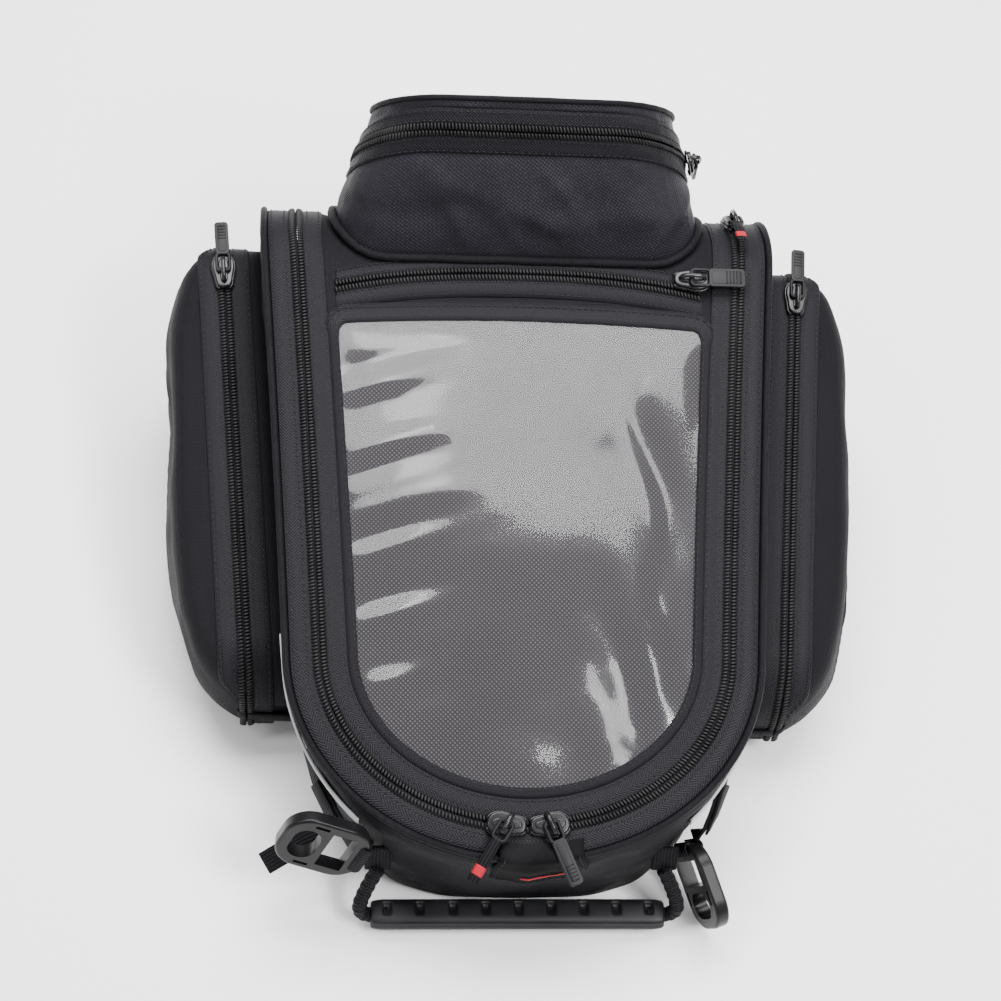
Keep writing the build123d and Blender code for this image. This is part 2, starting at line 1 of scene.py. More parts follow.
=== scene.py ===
import bpy
import bmesh
from math import atan2, copysign, cos, exp, hypot, pi, radians, sin, sqrt, tan
import numpy as np
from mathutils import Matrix, Quaternion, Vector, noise


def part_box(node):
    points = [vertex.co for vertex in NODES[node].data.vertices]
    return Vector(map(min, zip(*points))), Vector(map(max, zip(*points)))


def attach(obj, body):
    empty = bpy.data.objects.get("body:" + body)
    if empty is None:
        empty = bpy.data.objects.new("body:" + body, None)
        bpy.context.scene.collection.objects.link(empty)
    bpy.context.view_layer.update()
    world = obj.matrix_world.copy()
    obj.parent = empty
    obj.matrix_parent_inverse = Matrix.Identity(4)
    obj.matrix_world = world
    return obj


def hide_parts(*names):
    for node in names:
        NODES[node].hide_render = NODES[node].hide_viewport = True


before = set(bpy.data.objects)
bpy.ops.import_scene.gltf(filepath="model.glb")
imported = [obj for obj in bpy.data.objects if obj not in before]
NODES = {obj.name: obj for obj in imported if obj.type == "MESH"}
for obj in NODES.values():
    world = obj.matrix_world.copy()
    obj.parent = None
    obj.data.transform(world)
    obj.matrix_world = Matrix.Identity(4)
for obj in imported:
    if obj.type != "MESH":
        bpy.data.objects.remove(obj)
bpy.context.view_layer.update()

# ------------------------------------------------------------------ shape numbers, millimetres
Y_NEAR, SLOPE, Z_NEAR, Y_FAR, R_SH = -158.0, radians(14.5), 72.0, 168.0, 45.0
CH_A, CH_B, RIM, Z_HINGE = 97.0, 80.0, 17.5, 90.0
TS, CS, SS = tan(SLOPE), cos(SLOPE), sin(SLOPE)
TURN = pi / 2 + SLOPE
CY, CZ = Y_FAR - R_SH, Z_NEAR + TS * (Y_FAR - Y_NEAR) - R_SH * tan(TURN / 2)
Y_T = CY - R_SH * SS                       # where the lid's plane runs into the shoulder
S_T = (Y_T - Y_NEAR) / CS                  # the same, measured along the lid from the near chain
S_D = S_T + R_SH * TURN                    # where the shoulder runs into the far wall
S_FOLD = S_D + (CZ - Z_HINGE)              # fold line
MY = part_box("tub_shell")[1][1] * 1000.0 - Y_FAR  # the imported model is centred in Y
TAPE_OUT = 13.4                            # outer edge of the main zip's outer tape, from the chain


def lid_z(y):
    return Z_NEAR + TS * (y - Y_NEAR)


def S(x, s, t=0.0):
    """A point of the lid surface: x across, s along the profile from the near chain, t out of it."""
    if s <= S_T:
        return (x, Y_NEAR + s * CS - t * SS, Z_NEAR + s * SS + t * CS)
    if s <= S_D:
        a = pi / 2 + SLOPE - (s - S_T) / R_SH
        return (x, CY + (R_SH + t) * cos(a), CZ + (R_SH + t) * sin(a))
    return (x, Y_FAR + t, CZ - (s - S_D))


def norm(v):
    v = np.asarray(v, float)
    return v / np.linalg.norm(v)


def norm_rows(a):
    return a / np.linalg.norm(a, axis=1)[:, None]


def S_up(x, s):
    """Unit normal of the lid surface."""
    return norm(np.array(S(x, s, 1.0)) - np.array(S(x, s, 0.0)))


def even_out(c, times):
    """Smooths a closed line of points."""
    for _ in range(times):
        c = 0.5 * c + 0.25 * (np.roll(c, 1, axis=0) + np.roll(c, -1, axis=0))
    return c


def line_normals(c):
    """Normals of a closed line in the plane, to the right of its direction."""
    t = norm_rows(np.roll(c, -1, axis=0) - np.roll(c, 1, axis=0))
    return np.stack([t[:, 1], -t[:, 0]], axis=1)


def open_run(n, inside):
    """The stations of a closed line that are inside, as one run over its start."""
    out = [i for i in range(n) if not inside(i)]
    return list(range(max(out) + 1, n)) + list(range(min(out)))


# ------------------------------------------------------------------ mesh helpers
def link(obj):
    bpy.context.scene.collection.objects.link(obj)
    return obj


def make(name, verts, faces, uvs=None, mats=None, fix=True):
    me = bpy.data.meshes.new(name)
    v = np.asarray(verts, float).copy()
    v[:, 1] += MY
    v *= 0.001
    me.from_pydata([tuple(p) for p in v], [], faces)
    if uvs is not None:
        layer = me.uv_layers.new(name="UVMap")
        layer.data.foreach_set("uv", np.asarray(uvs, np.float32).ravel())
    me.polygons.foreach_set("use_smooth", [True] * len(me.polygons))
    me.update()
    if fix:
        bm = bmesh.new()
        bm.from_mesh(me)
        bmesh.ops.recalc_face_normals(bm, faces=bm.faces)
        bm.to_mesh(me)
        bm.free()
    obj = link(bpy.data.objects.new(name, me))
    if mats:
        for m in mats if isinstance(mats, (list, tuple)) else [mats]:
            me.materials.append(m)
    return obj


def dress(obj, body, node=None):
    """Says which body a piece rides on, and hides the CAD node it stands for."""
    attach(obj, body)
    if node:
        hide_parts(node)
    return obj


def grid(name, P, mat, closed=False, wrap=False, cap0=False, cap1=False, uref=0, vref=None):
    """P is rows x columns x 3, in millimetres. closed joins the columns round, wrap joins the rows round."""
    P = np.asarray(P, float)
    R, N, _ = P.shape
    nxt = np.roll(P[uref], -1, axis=0)
    seg = np.linalg.norm(nxt - P[uref], axis=1)
    U = np.concatenate([[0], np.cumsum(seg)]) * 0.001
    col = N // 2 if vref is None else vref
    vs = np.linalg.norm(np.roll(P[:, col], -1, axis=0) - P[:, col], axis=1)
    V = np.concatenate([[0], np.cumsum(vs)]) * 0.001
    faces, uvs = [], []
    for r in range(R if wrap else R - 1):
        q = (r + 1) % R
        for i in range(N if closed else N - 1):
            j = (i + 1) % N
            faces.append((r * N + i, r * N + j, q * N + j, q * N + i))
            uvs += [(U[i], V[r]), (U[i + 1], V[r]), (U[i + 1], V[r + 1]), (U[i], V[r + 1])]
    verts = P.reshape(-1, 3)
    for flag, r in ((cap0, 0), (cap1, R - 1)):
        if flag:
            c = P[r].mean(axis=0)
            verts = np.vstack([verts, c[None]])
            k = len(verts) - 1
            for i in range(N if closed else N - 1):
                j = (i + 1) % N
                a, b = P[r][i], P[r][j]
                faces.append((r * N + i, r * N + j, k))
                uvs += [(a[0] * 0.001, a[1] * 0.001), (b[0] * 0.001, b[1] * 0.001), (c[0] * 0.001, c[1] * 0.001)]
    return make(name, verts, faces, uvs, mat)


def solid(name, P, mat, **kw):
    """Rings of points closed round and capped at both ends."""
    return grid(name, P, mat, closed=True, cap0=True, cap1=True, **kw)


def tube_rows(path, r, sides=8, closed=False, flat=1.0, up=(0, 0, 1)):
    """Rings round a path, as rows for grid()."""
    path = np.asarray(path, float)
    n = len(path)
    rows = []
    ref = norm(up)
    for i in range(n):
        a = path[(i - 1) % n] if (closed or i > 0) else path[0]
        b = path[(i + 1) % n] if (closed or i < n - 1) else path[-1]
        t = norm(b - a)
        side = np.cross(t, ref)
        if np.linalg.norm(side) < 1e-4:
            side = np.cross(t, (1, 0, 0.01))
        side = norm(side)
        nn = norm(np.cross(side, t))
        ref = nn
        rr = r[i] if isinstance(r, (list, np.ndarray)) else r
        rows.append([path[i] + rr * (cos(q) * side + flat * sin(q) * nn)
                     for q in [2 * pi * k / sides for k in range(sides)]])
    return np.array(rows)


def tube(name, path, r, mat, sides=8, closed=False, flat=1.0, up=(0, 0, 1)):
    return grid(name, tube_rows(path, r, sides, closed, flat, up), mat, closed=True, wrap=closed,
                cap0=not closed, cap1=not closed)


def resample(path, step=None, n=None, closed=False):
    path = np.asarray(path, float)
    if closed:
        path = np.vstack([path, path[:1]])
    d = np.concatenate([[0], np.cumsum(np.linalg.norm(np.diff(path, axis=0), axis=1))])
    if n is None:
        n = max(2, int(round(d[-1] / step)) + (0 if closed else 1))
    q = np.linspace(0, d[-1], n, endpoint=not closed)
    return np.stack([np.interp(q, d, path[:, k]) for k in range(path.shape[1])], axis=1)


def nz(x, y, z):
    return noise.noise(Vector((x, y, z)))


def fn(p, scale, seed):
    """Smooth noise at a point, by scale and seed."""
    return nz(p[0] * scale + seed, p[1] * scale - seed, p[2] * scale + 2 * seed)


def join(name, objs):
    """Joins meshes that ride on one body into one object."""
    vs, fs, us, ms, mi, off, sm = [], [], [], [], [], 0, []
    for o in objs:
        me = o.data
        co = np.empty(len(me.vertices) * 3)
        me.vertices.foreach_get("co", co)
        vs.append(co.reshape(-1, 3))
        local = []
        for m in me.materials:
            if m not in ms:
                ms.append(m)
            local.append(ms.index(m))
        for p in me.polygons:
            fs.append(tuple(i + off for i in p.vertices))
            mi.append(local[p.material_index] if local else 0)
            sm.append(p.use_smooth)
        if me.uv_layers:
            uv = np.empty(len(me.loops) * 2, np.float32)
            me.uv_layers[0].data.foreach_get("uv", uv)
        else:
            uv = np.zeros(len(me.loops) * 2, np.float32)
        us.append(uv)
        off += len(me.vertices)
        bpy.data.objects.remove(o)
        bpy.data.meshes.remove(me)
    me = bpy.data.meshes.new(name)
    me.from_pydata([tuple(p) for p in np.vstack(vs)], [], fs)
    layer = me.uv_layers.new(name="UVMap")
    layer.data.foreach_set("uv", np.concatenate(us))
    for m in ms:
        me.materials.append(m)
    me.polygons.foreach_set("material_index", mi)
    me.polygons.foreach_set("use_smooth", sm)
    me.update()
    return link(bpy.data.objects.new(name, me))


# ------------------------------------------------------------------ the arched zip line and its offsets
def chain_curve():
    """Closed line of the lid in (x, s): near arch, tapering sides, shoulder, and across at the fold."""
    half = []
    s_c = CH_B / CS
    for k in range(25):
        a = radians(90.0 * k / 24)
        half.append((CH_A * sin(a), s_c - CH_B / CS * cos(a)))
    side = [(101.0, -15), (105.5, 50), (110.0, 110)]
    for x, y in side:
        half.append((x, (y - Y_NEAR) / CS))
    half += [(111.6, S_T + 20), (111.8, S_T + 50), (111.8, S_D), (111.8, S_FOLD - 8)]
    for k in range(1, 6):
        a = radians(90.0 * k / 6)
        half.append((103.8 + 8 * cos(a), S_FOLD - 8 + 8 * sin(a)))
    half += [(103.8, S_FOLD), (0.0, S_FOLD)]
    full = half + [(-x, s) for x, s in half[1:-1]][::-1]
    return even_out(resample(full, n=720, closed=True), 6)


CH = chain_curve()
CHN = line_normals(CH)                     # outward, in (x, s)
NC = len(CH)


def ring(off, t=0.0):
    """The whole chain line moved outward by off and up by t."""
    return np.array([S(*(c + off * n), t) for c, n in zip(CH, CHN)])


# the zip runs from the left far wall round the near arch to the right far wall
ORDER = open_run(NC, lambda i: CH[i][1] < S_D - 6.0 or (abs(CH[i][0]) > 111.0 and CH[i][1] < S_FOLD - 12))


def rim(off, t):
    return ring(off, t)[ORDER]


# ------------------------------------------------------------------ materials
class Tree:
    """A Principled material and short names for the nodes it is built from."""

    def __init__(self, name, color, rough, **kw):
        self.m = bpy.data.materials.new(name)
        self.m.use_nodes = True
        self.nt = self.m.node_tree
        self.b = self.nt.nodes["Principled BSDF"]
        self.b.inputs["Base Color"].default_value = (*color, 1)
        self.b.inputs["Roughness"].default_value = rough
        for k, v in kw.items():
            self.b.inputs[k.replace("_", " ")].default_value = v

    def n(self, kind, **kw):
        node = self.nt.nodes.new(kind)
        for k, v in kw.items():
            if k in node.inputs:
                node.inputs[k].default_value = v
            else:
                setattr(node, k, v)
        return node

    def l(self, a, b):
        self.nt.links.new(a, b)

    def math(self, op, a, b=None, c=None, clamp=False):
        node = self.nt.nodes.new("ShaderNodeMath")
        node.operation = op
        node.use_clamp = clamp
        for i, v in enumerate((a, b, c)):
            if v is None:
                continue
            if isinstance(v, bpy.types.NodeSocket):
                self.l(v, node.inputs[i])
            else:
                node.inputs[i].default_value = v
        return node.outputs[0]

    def add(self, a, b):
        return self.math("ADD", a, b)

    def sub(self, a, b):
        return self.math("SUBTRACT", a, b)

    def mul(self, a, b, clamp=False):
        return self.math("MULTIPLY", a, b, clamp=clamp)

    def div(self, a, b):
        return self.math("DIVIDE", a, b)

    def mad(self, a, b, c):
        return self.math("MULTIPLY_ADD", a, b, c)

    def wave(self, a, period, kind="SINE"):
        """A sine or cosine of a along this period, between 0 and 1."""
        return self.mad(self.math(kind, self.mul(self.div(a, period), 2 * pi)), 0.5, 0.5)

    def uv(self):
        u = self.n("ShaderNodeUVMap")
        u.uv_map = "UVMap"
        sep = self.n("ShaderNodeSeparateXYZ")
        self.l(u.outputs[0], sep.inputs[0])
        return sep.outputs[0], sep.outputs[1], u.outputs[0]

    def pos(self):
        return self.n("ShaderNodeTexCoord").outputs["Object"]

    def noise(self, vec, scale, detail=3.0, rough=0.5):
        node = self.n("ShaderNodeTexNoise")
        node.inputs["Scale"].default_value = scale
        node.inputs["Detail"].default_value = detail
        node.inputs["Roughness"].default_value = rough
        self.l(vec, node.inputs["Vector"])
        return node.outputs["Fac"]

    def ramp(self, fac, stops):
        node = self.n("ShaderNodeValToRGB")
        while len(node.color_ramp.elements) < len(stops):
            node.color_ramp.elements.new(0.5)
        for e, (p, c) in zip(node.color_ramp.elements, stops):
            e.position = p
            e.color = (*c, 1) if len(c) == 3 else c
        self.l(fac, node.inputs[0])
        return node.outputs[0]

    def mix(self, fac, a, b):
        node = self.nt.nodes.new("ShaderNodeMix")
        node.data_type = "RGBA"
        for sock, v in ((node.inputs[0], fac), (node.inputs[6], a), (node.inputs[7], b)):
            if isinstance(v, bpy.types.NodeSocket):
                self.l(v, sock)
            else:
                sock.default_value = (*v, 1) if isinstance(v, tuple) and len(v) == 3 else v
        return node.outputs[2]

    def color(self, out):
        self.l(out, self.b.inputs["Base Color"])

    def rough(self, out):
        self.l(out, self.b.inputs["Roughness"])

    def bump(self, h, dist, strength, prev=None):
        node = self.n("ShaderNodeBump")
        node.inputs["Strength"].default_value = strength
        node.inputs["Distance"].default_value = dist
        self.l(h, node.inputs["Height"])
        if prev is not None:
            self.l(prev, node.inputs["Normal"])
        self.l(node.outputs[0], self.b.inputs["Normal"])
        return node.outputs[0]


def cells(T, u, v, pitch):
    """Thread cell coordinates of a plain weave: fractions and the over/under parity."""
    a = T.div(u, pitch)
    b = T.div(v, pitch)
    fa, fb = T.math("FRACT", a), T.math("FRACT", b)
    ia, ib = T.math("FLOOR", a), T.math("FLOOR", b)
    par = T.math("MODULO", T.math("ABSOLUTE", T.add(ia, ib)), 2.0)
    return fa, fb, ia, ib, par


def weave(name, base, light, pitch, dist, rough, grain, turn=0.0):
    """Plain woven cloth: round threads over and under, each thread a little lighter or darker; the pale colour on
    thread crowns and odd threads is painted highlight, and the base left in the hollows between threads is painted
    shade.
    """
    T = Tree(name, base, rough, Sheen_Roughness=0.4, Specular_IOR_Level=0.10)
    u, v, vec = T.uv()
    if turn:
        c, s = cos(turn), sin(turn)
        u2 = T.sub(T.mul(u, c), T.mul(v, s))
        v = T.add(T.mul(u, s), T.mul(v, c))
        u = u2
    # threads wander slightly
    wob = T.noise(vec, 60.0, 2.0)
    u = T.add(u, T.mul(T.sub(wob, 0.5), pitch * 0.9))
    fa, fb, ia, ib, par = cells(T, u, v, pitch)
    ha = T.math("SINE", T.mul(fa, pi))
    hb = T.math("SINE", T.mul(fb, pi))
    # warp on top where parity is 0: round across u, high in the middle along v
    warp = T.mul(T.math("POWER", ha, 0.6), T.mad(hb, 0.45, 0.55))
    weft = T.mul(T.math("POWER", hb, 0.6), T.mad(ha, 0.45, 0.55))
    h = T.add(T.mul(warp, T.sub(1.0, par)), T.mul(weft, par))
    comb = T.n("ShaderNodeCombineXYZ")
    T.l(ia, comb.inputs[0])
    T.l(ib, comb.inputs[1])
    wn = T.n("ShaderNodeTexWhiteNoise")
    wn.noise_dimensions = "3D"
    T.l(comb.outputs[0], wn.inputs["Vector"])
    rnd = wn.outputs["Value"]
    big = T.noise(vec, 18.0, 4.0)
    mid = T.noise(vec, 160.0, 3.0, 0.6)
    # painted light: random bright threads stand in for speckle highlights, and the pale tone is weighted by thread
    # height, so crowns carry a painted highlight and the hollows between threads a painted shade
    amt = T.mul(T.math("POWER", rnd, 3.0), 0.55 * grain)
    amt = T.add(amt, T.mul(T.sub(mid, 0.4), 0.5 * grain))
    amt = T.add(amt, T.mul(T.sub(big, 0.5), 0.35))
    amt = T.mul(T.mad(h, 0.8, 0.2), T.add(amt, 0.18 + 0.45 * (1.0 - grain)), clamp=True)
    T.color(T.mix(amt, base, light))
    T.rough(T.mad(T.sub(1.0, h), 0.18, rough - 0.06))
    b1 = T.bump(T.noise(vec, 90.0, 3.0), 0.0006, 0.35)
    T.bump(h, dist, 0.9, b1)
    return T.m


def herringbone(name, base, light, pitch, width):
    """Zip tape: chevrons along the tape."""
    T = Tree(name, base, 0.5, Specular_IOR_Level=0.10)
    u, v, vec = T.uv()
    w = T.math("ABSOLUTE", T.sub(T.math("FRACT", T.div(v, width)), 0.5))
    k = T.div(T.add(u, T.mul(w, width * 1.15)), pitch)
    st = T.mad(T.math("SINE", T.mul(k, 2 * pi)), 0.5, 0.5)
    fine = T.wave(v, 0.00045)
    h = T.add(T.mul(st, 0.8), T.mul(fine, 0.2))
    n1 = T.noise(vec, 900.0, 2.0)
    amt = T.mul(h, T.mad(n1, 0.9, 0.1), clamp=True)
    T.color(T.mix(amt, base, light))
    T.bump(h, 0.00022, 0.9)
    return T.m


def plastic(name, base, rough, coat, bump, scale, tint=0.35, spec=0.5):
    """Moulded plastic, rubber, lacquered metal or thread: fine grain, and a slow change of shade."""
    T = Tree(name, base, rough, Specular_IOR_Level=spec, Coat_Weight=coat, Coat_Roughness=0.12)
    vec = T.pos()
    n1 = T.noise(vec, scale, 3.0)
    n2 = T.noise(vec, 45.0, 4.0)
    light = tuple(min(1.0, c * (1 + tint) + 0.006) for c in base)
    T.color(T.mix(T.ramp(n2, [(0.35, (0, 0, 0)), (0.7, (1, 1, 1))]), base, light))
    T.rough(T.mad(n2, 0.16, rough - 0.08))
    T.bump(n1, bump, 0.6)
    return T.m


def ribbed(name, base, light, pitch, dist, axis):
    """Webbing: raised ribs across it, with fine threads."""
    T = Tree(name, base, 0.6, Specular_IOR_Level=0.10)
    u, v, vec = T.uv()
    a, b = (u, v) if axis == "u" else (v, u)
    h = T.mul(T.wave(a, pitch), T.mad(T.wave(b, pitch * 0.62), 0.4, 0.6))
    n1 = T.noise(vec, 600.0, 3.0)
    T.color(T.mix(T.mul(h, T.mad(n1, 0.8, 0.2)), base, light))
    T.bump(h, dist, 0.9)
    return T.m


DARK = (0.0011, 0.0010, 0.0015)            # the cloth's own dark dye, also used as the painted shade in the hollows between its threads
# each weave's second colour is a pale tone painted on thread crowns and odd threads as highlight
M_SHELL = weave("poly_shell", DARK, (0.011, 0.0102, 0.0142), 0.00072, 0.00022, 0.56, 0.45)
M_POUCH = weave("poly_pouch", DARK, (0.034, 0.0315, 0.0415), 0.0015, 0.0003, 0.50, 0.25, turn=0.6)
M_LINING = weave("lining", (0.012, 0.012, 0.014), (0.05, 0.05, 0.055), 0.0005, 0.0001, 0.45, 0.5)
M_BIND = weave("bias_binding", DARK, (0.013, 0.0122, 0.0165), 0.0006, 0.00018, 0.55, 0.9, turn=0.78)
M_TAPE = herringbone("zip_tape", (0.0006, 0.0005, 0.0008), (0.031, 0.0288, 0.0365), 0.0016, 0.0068)
M_COIL = plastic("zip_coil", (0.0032, 0.0030, 0.0038), 0.5, 0.0, 0.00004, 1500.0, spec=0.22)
M_THREAD = plastic("thread", (0.006, 0.0056, 0.0072), 0.5, 0.0, 0.00006, 2600.0, spec=0.2)
M_METAL = plastic("slider_black", (0.005, 0.005, 0.006), 0.26, 0.05, 0.00001, 900.0, spec=0.26)
M_PULL = plastic("puller_black", (0.005, 0.005, 0.006), 0.46, 0.0, 0.00002, 1100.0, spec=0.16)
M_RED = plastic("red_mark", (0.30, 0.006, 0.016), 0.55, 0.0, 0.00008, 1800.0, 0.2, spec=0.2)
M_RUBBER = plastic("grip_rubber", (0.0036, 0.0034, 0.0046), 0.44, 0.0, 0.00008, 1300.0, 0.5, spec=0.22)
M_RING = plastic("ring_plastic", (0.0022, 0.0021, 0.0027), 0.34, 0.04, 0.00003, 600.0, spec=0.16)
M_REFL = plastic("reflective_tape", (0.46, 0.47, 0.48), 0.38, 0.2, 0.0001, 1500.0, 0.1)
M_PATCH = plastic("label_rubber", (0.0016, 0.0015, 0.0020), 0.75, 0.0, 0.0001, 1200.0, 0.5, spec=0.05)
M_PAD = weave("base_pad", (0.012, 0.012, 0.012), (0.05, 0.05, 0.05), 0.0022, 0.0006, 0.8, 0.8)
M_WEB = ribbed("webbing", (0.0012, 0.0011, 0.0015), (0.018, 0.017, 0.022), 0.0016, 0.00035, "u")
M_WEBV = ribbed("webbing_v", (0.0012, 0.0011, 0.0015), (0.022, 0.021, 0.027), 0.0016, 0.0004, "v")


def pvc_material():
    """Clear sheet: a hard gloss over it, faint smudges, and a slight warm and cool change of tint."""
    T = Tree("clear_pvc", (0.02, 0.02, 0.022), 0.13, Alpha=0.26, IOR=1.6, Specular_IOR_Level=0.5,
             Coat_Weight=0.7, Coat_Roughness=0.07, Coat_IOR=1.6)
    vec = T.pos()
    n = T.noise(vec, 16.0, 1.0, 0.4)
    smudge = T.noise(vec, 55.0, 4.0, 0.6)
    T.color(T.mix(n, (0.008, 0.008, 0.010), (0.030, 0.024, 0.021)))
    T.rough(T.mad(smudge, 0.10, 0.08))
    T.bump(n, 0.0012, 0.4)
    return T.m


def dotted_nylon(name, base, light, pitch):
    """Open basket weave of the map pocket's back: staggered pale thread crossings on black."""
    T = Tree(name, base, 0.55, Specular_IOR_Level=0.3)
    u, v, vec = T.uv()
    wob = T.noise(vec, 40.0, 2.0)
    u = T.add(u, T.mul(T.sub(wob, 0.5), pitch * 0.25))
    v = T.add(v, T.mul(T.sub(T.noise(vec, 33.0, 2.0), 0.5), pitch * 0.25))
    h = T.mul(T.wave(T.add(u, v), pitch * 1.41, "COSINE"), T.wave(T.sub(u, v), pitch * 1.41, "COSINE"))
    fade = T.mad(T.noise(vec, 12.0, 3.0), 0.7, 0.6)
    T.color(T.mix(T.mul(T.math("POWER", h, 1.3), fade, clamp=True), base, light))
    T.bump(h, 0.0003, 0.8)
    return T.m


M_PVC = pvc_material()
M_BACK = dotted_nylon("window_nylon", (0.003, 0.003, 0.004), (0.15, 0.135, 0.165), 0.00155)

# ------------------------------------------------------------------ stitches and zip teeth along a line
def bead_faces(base, rings, sides):
    """Side faces of a short tube whose rings of points start at base."""
    return [(base + r * sides + s, base + r * sides + (s + 1) % sides, base + (r + 1) * sides + (s + 1) % sides,
             base + (r + 1) * sides + s) for r in range(rings - 1) for s in range(sides)]


def stitches(name, pts, nrm, length=2.2, gap=1.0, closed=False):
    """Thread stitches lying on a line. pts and nrm are points and surface normals in millimetres."""
    pts = np.asarray(pts, float)
    data = np.hstack([pts, np.asarray(nrm, float)])
    d = resample(data, step=(length + gap) / 2, closed=closed)
    verts, faces = [], []
    r, half, sides = 0.26, length / 2, 6
    for k in range(0, len(d) - 2, 2):
        a, b = d[k, :3], d[k + 1, :3]
        up = norm(d[k, 3:])
        t = b - a
        L = np.linalg.norm(t)
        if L < 0.3:
            continue
        t = t / L
        m = (a + b) / 2
        side = np.cross(up, t)
        base = len(verts)
        for q, w in ((-1.0, 0.25), (-0.62, 0.95), (0.0, 1.15), (0.62, 0.95), (1.0, 0.25)):
            lift = r * (0.9 - 1.3 * q * q)
            for s in range(sides):
                an = 2 * pi * s / sides
                verts.append(m + t * (q * half) + side * (cos(an) * r * w) + up * (lift + sin(an) * r * w))
        faces += bead_faces(base, 5, sides)
        faces.append(tuple(base + s for s in range(sides - 1, -1, -1)))
        faces.append(tuple(base + 4 * sides + s for s in range(sides)))
    return make(name, verts, faces, None, M_THREAD, fix=False)


def teeth(name, line, nrm, out):
    """One side of a coil zip seen from its tape side: close knitted bumps leaning into a dark middle line. out points
    from the middle of the zip towards this side's tape."""
    pitch, height, reach, tip, r, sides = 1.7, 1.75, 3.6, 0.12, 0.60, 6
    data = np.hstack([np.asarray(line, float), np.asarray(nrm, float), np.asarray(out, float)])
    d = resample(data, step=pitch / 2)
    arch = [(reach, 0.55), (reach - 0.3, height * 0.66), (reach * 0.62, height * 0.92), (reach * 0.3, height),
            (tip + 0.35, height * 0.86), (tip, height * 0.45)]
    rad = [0.7, 0.95, 1.12, 1.15, 1.0, 0.7]
    verts, faces = [], []
    for k in range(0, len(d) - 1, 2):
        p, up, o = d[k, :3], norm(d[k, 3:6]), norm(d[k, 6:9])
        t = np.cross(up, o)
        base = len(verts)
        for (a, h), w in zip(arch, rad):
            c = p + o * a + up * h + t * (0.22 * (a - 1.8))
            for s in range(sides):
                an = 2 * pi * s / sides
                verts.append(c + t * (cos(an) * r * w) + (up * 0.85 + o * 0.15) * (sin(an) * r * w * 0.8))
        m = len(arch)
        faces += bead_faces(base, m, sides)
        faces.append(tuple(base + s for s in range(sides)))
        faces.append(tuple(base + (m - 1) * sides + s for s in range(sides - 1, -1, -1)))
    return make(name, verts, faces, None, M_COIL)


UPN = norm_rows(rim(0.0, 1.0) - rim(0.0, 0.0))
OUTN = norm_rows(rim(1.0, 0.0) - rim(0.0, 0.0))


# ------------------------------------------------------------------ tub
BASE_HALF = [(0, -165), (36, -164), (60, -156.5), (77, -139), (90, -107), (99, -62), (107, 0), (114, 60),
             (120, 112), (120, 145), (112, 160), (90, 164.5), (45, 165), (0, 165)]


def base_radius():
    full = BASE_HALF + [(-x, y) for x, y in BASE_HALF[1:-1]][::-1]
    pts = even_out(resample(full, n=720, closed=True), 30)
    ang = np.arctan2(pts[:, 1], pts[:, 0])
    o = np.argsort(ang)
    return ang[o], np.hypot(pts[:, 0], pts[:, 1])[o]


BA, BR = base_radius()


def base_point(theta, inset, z):
    r = np.interp(theta, BA, BR, period=2 * pi) - inset
    return np.array([r * cos(theta), r * sin(theta), z])


def build_tub():
    top = ring(RIM, 0.0)
    theta = np.arctan2(top[:, 1], top[:, 0])
    def foot_row(inset, z):
        return np.array([base_point(a, inset, z) for a in theta])

    rows = [foot_row(inset, z) for inset, z in ((14, 3.0), (3.0, 2.8), (0.6, 3.6), (0.0, 5.6))]
    foot = rows[-1]
    out = norm_rows(np.stack([np.cos(theta), np.sin(theta), np.zeros(NC)], axis=1))
    nv = 26
    for k in range(1, nv):
        v = k / nv
        p = foot * (1 - v) + top * v
        h = sin(pi * v)
        # padded wall: full in the middle, drawn in at the rim seam and above the floor seam
        bulge = 1.5 * h ** 0.7 - 1.4 * exp(-((v - 0.97) / 0.035) ** 2)
        bulge -= 0.9 * exp(-((v - 0.06) / 0.03) ** 2)
        wr = np.array([fn(q, 0.030, 3.0) * 2.2 + fn(q, 0.075, 9.0) * 0.8 for q in p])
        crease = np.array([fn((q[0], q[1], q[2] * 3.0), 0.045, 21.0) for q in p])
        p = p + out * (bulge + (wr + crease * 0.7) * min(1.0, 3 * h))[:, None]
        rows.append(p)
    # over the rim, in under the tape, and down the inside to the floor
    rows += [ring(o, t) for o, t in ((RIM + 0.1, -0.6), (RIM - 1.3, -0.35), (TAPE_OUT - 0.2, -0.1), (1.2, -0.1),
                                     (1.2, -2.8), (9.0, -3.0))]
    inner_top, inner_foot = ring(RIM - 4.0, -4.5), foot_row(4.6, 11.5)
    rows += [inner_top * (1 - k / 10) + inner_foot * (k / 10) for k in range(11)]
    rows.append(foot_row(12.0, 10.6))
    o = solid("tub_cloth", rows, [M_SHELL, M_LINING], uref=nv // 2, vref=0)
    first = (4 + nv - 1 + 5) * NC
    for p in o.data.polygons:
        if min(p.vertices) >= first:
            p.material_index = 1
    return o


tub = dress(build_tub(), "bag", "tub_shell")

# the main zip: a tape and a row of teeth each side of the chain line, and two rows of stitching along each tape
TAPE_T = (0.1, 0.75, 0.85, 1.0, 0.8, 0.4, -0.2)
for half, sg, body, offs in (("outer", 1, "bag", (0.9, 0.9, 5.2, 9.5, TAPE_OUT, TAPE_OUT + 0.5, TAPE_OUT + 0.3)),
                             ("inner", -1, "lid", (-0.9, -0.9, -5.2, -9.0, -12.6, -13.2, -13.0))):
    o = grid("main_tape_" + half, [rim(o, t) for o, t in zip(offs, TAPE_T)], M_TAPE)
    dress(o, body, half + "_zip_tape")
    dress(teeth("main_teeth_" + half, rim(0.0, 0.0), UPN, sg * OUTN), body, half + "_zip_coil")
for nm, body, offs in (("rim", "bag", (5.7, TAPE_OUT - 1.2)), ("lid", "lid", (-5.7, -11.6))):
    dress(join(nm + "_stitching", [stitches("s", rim(o, 0.85), UPN) for o in offs]), body)

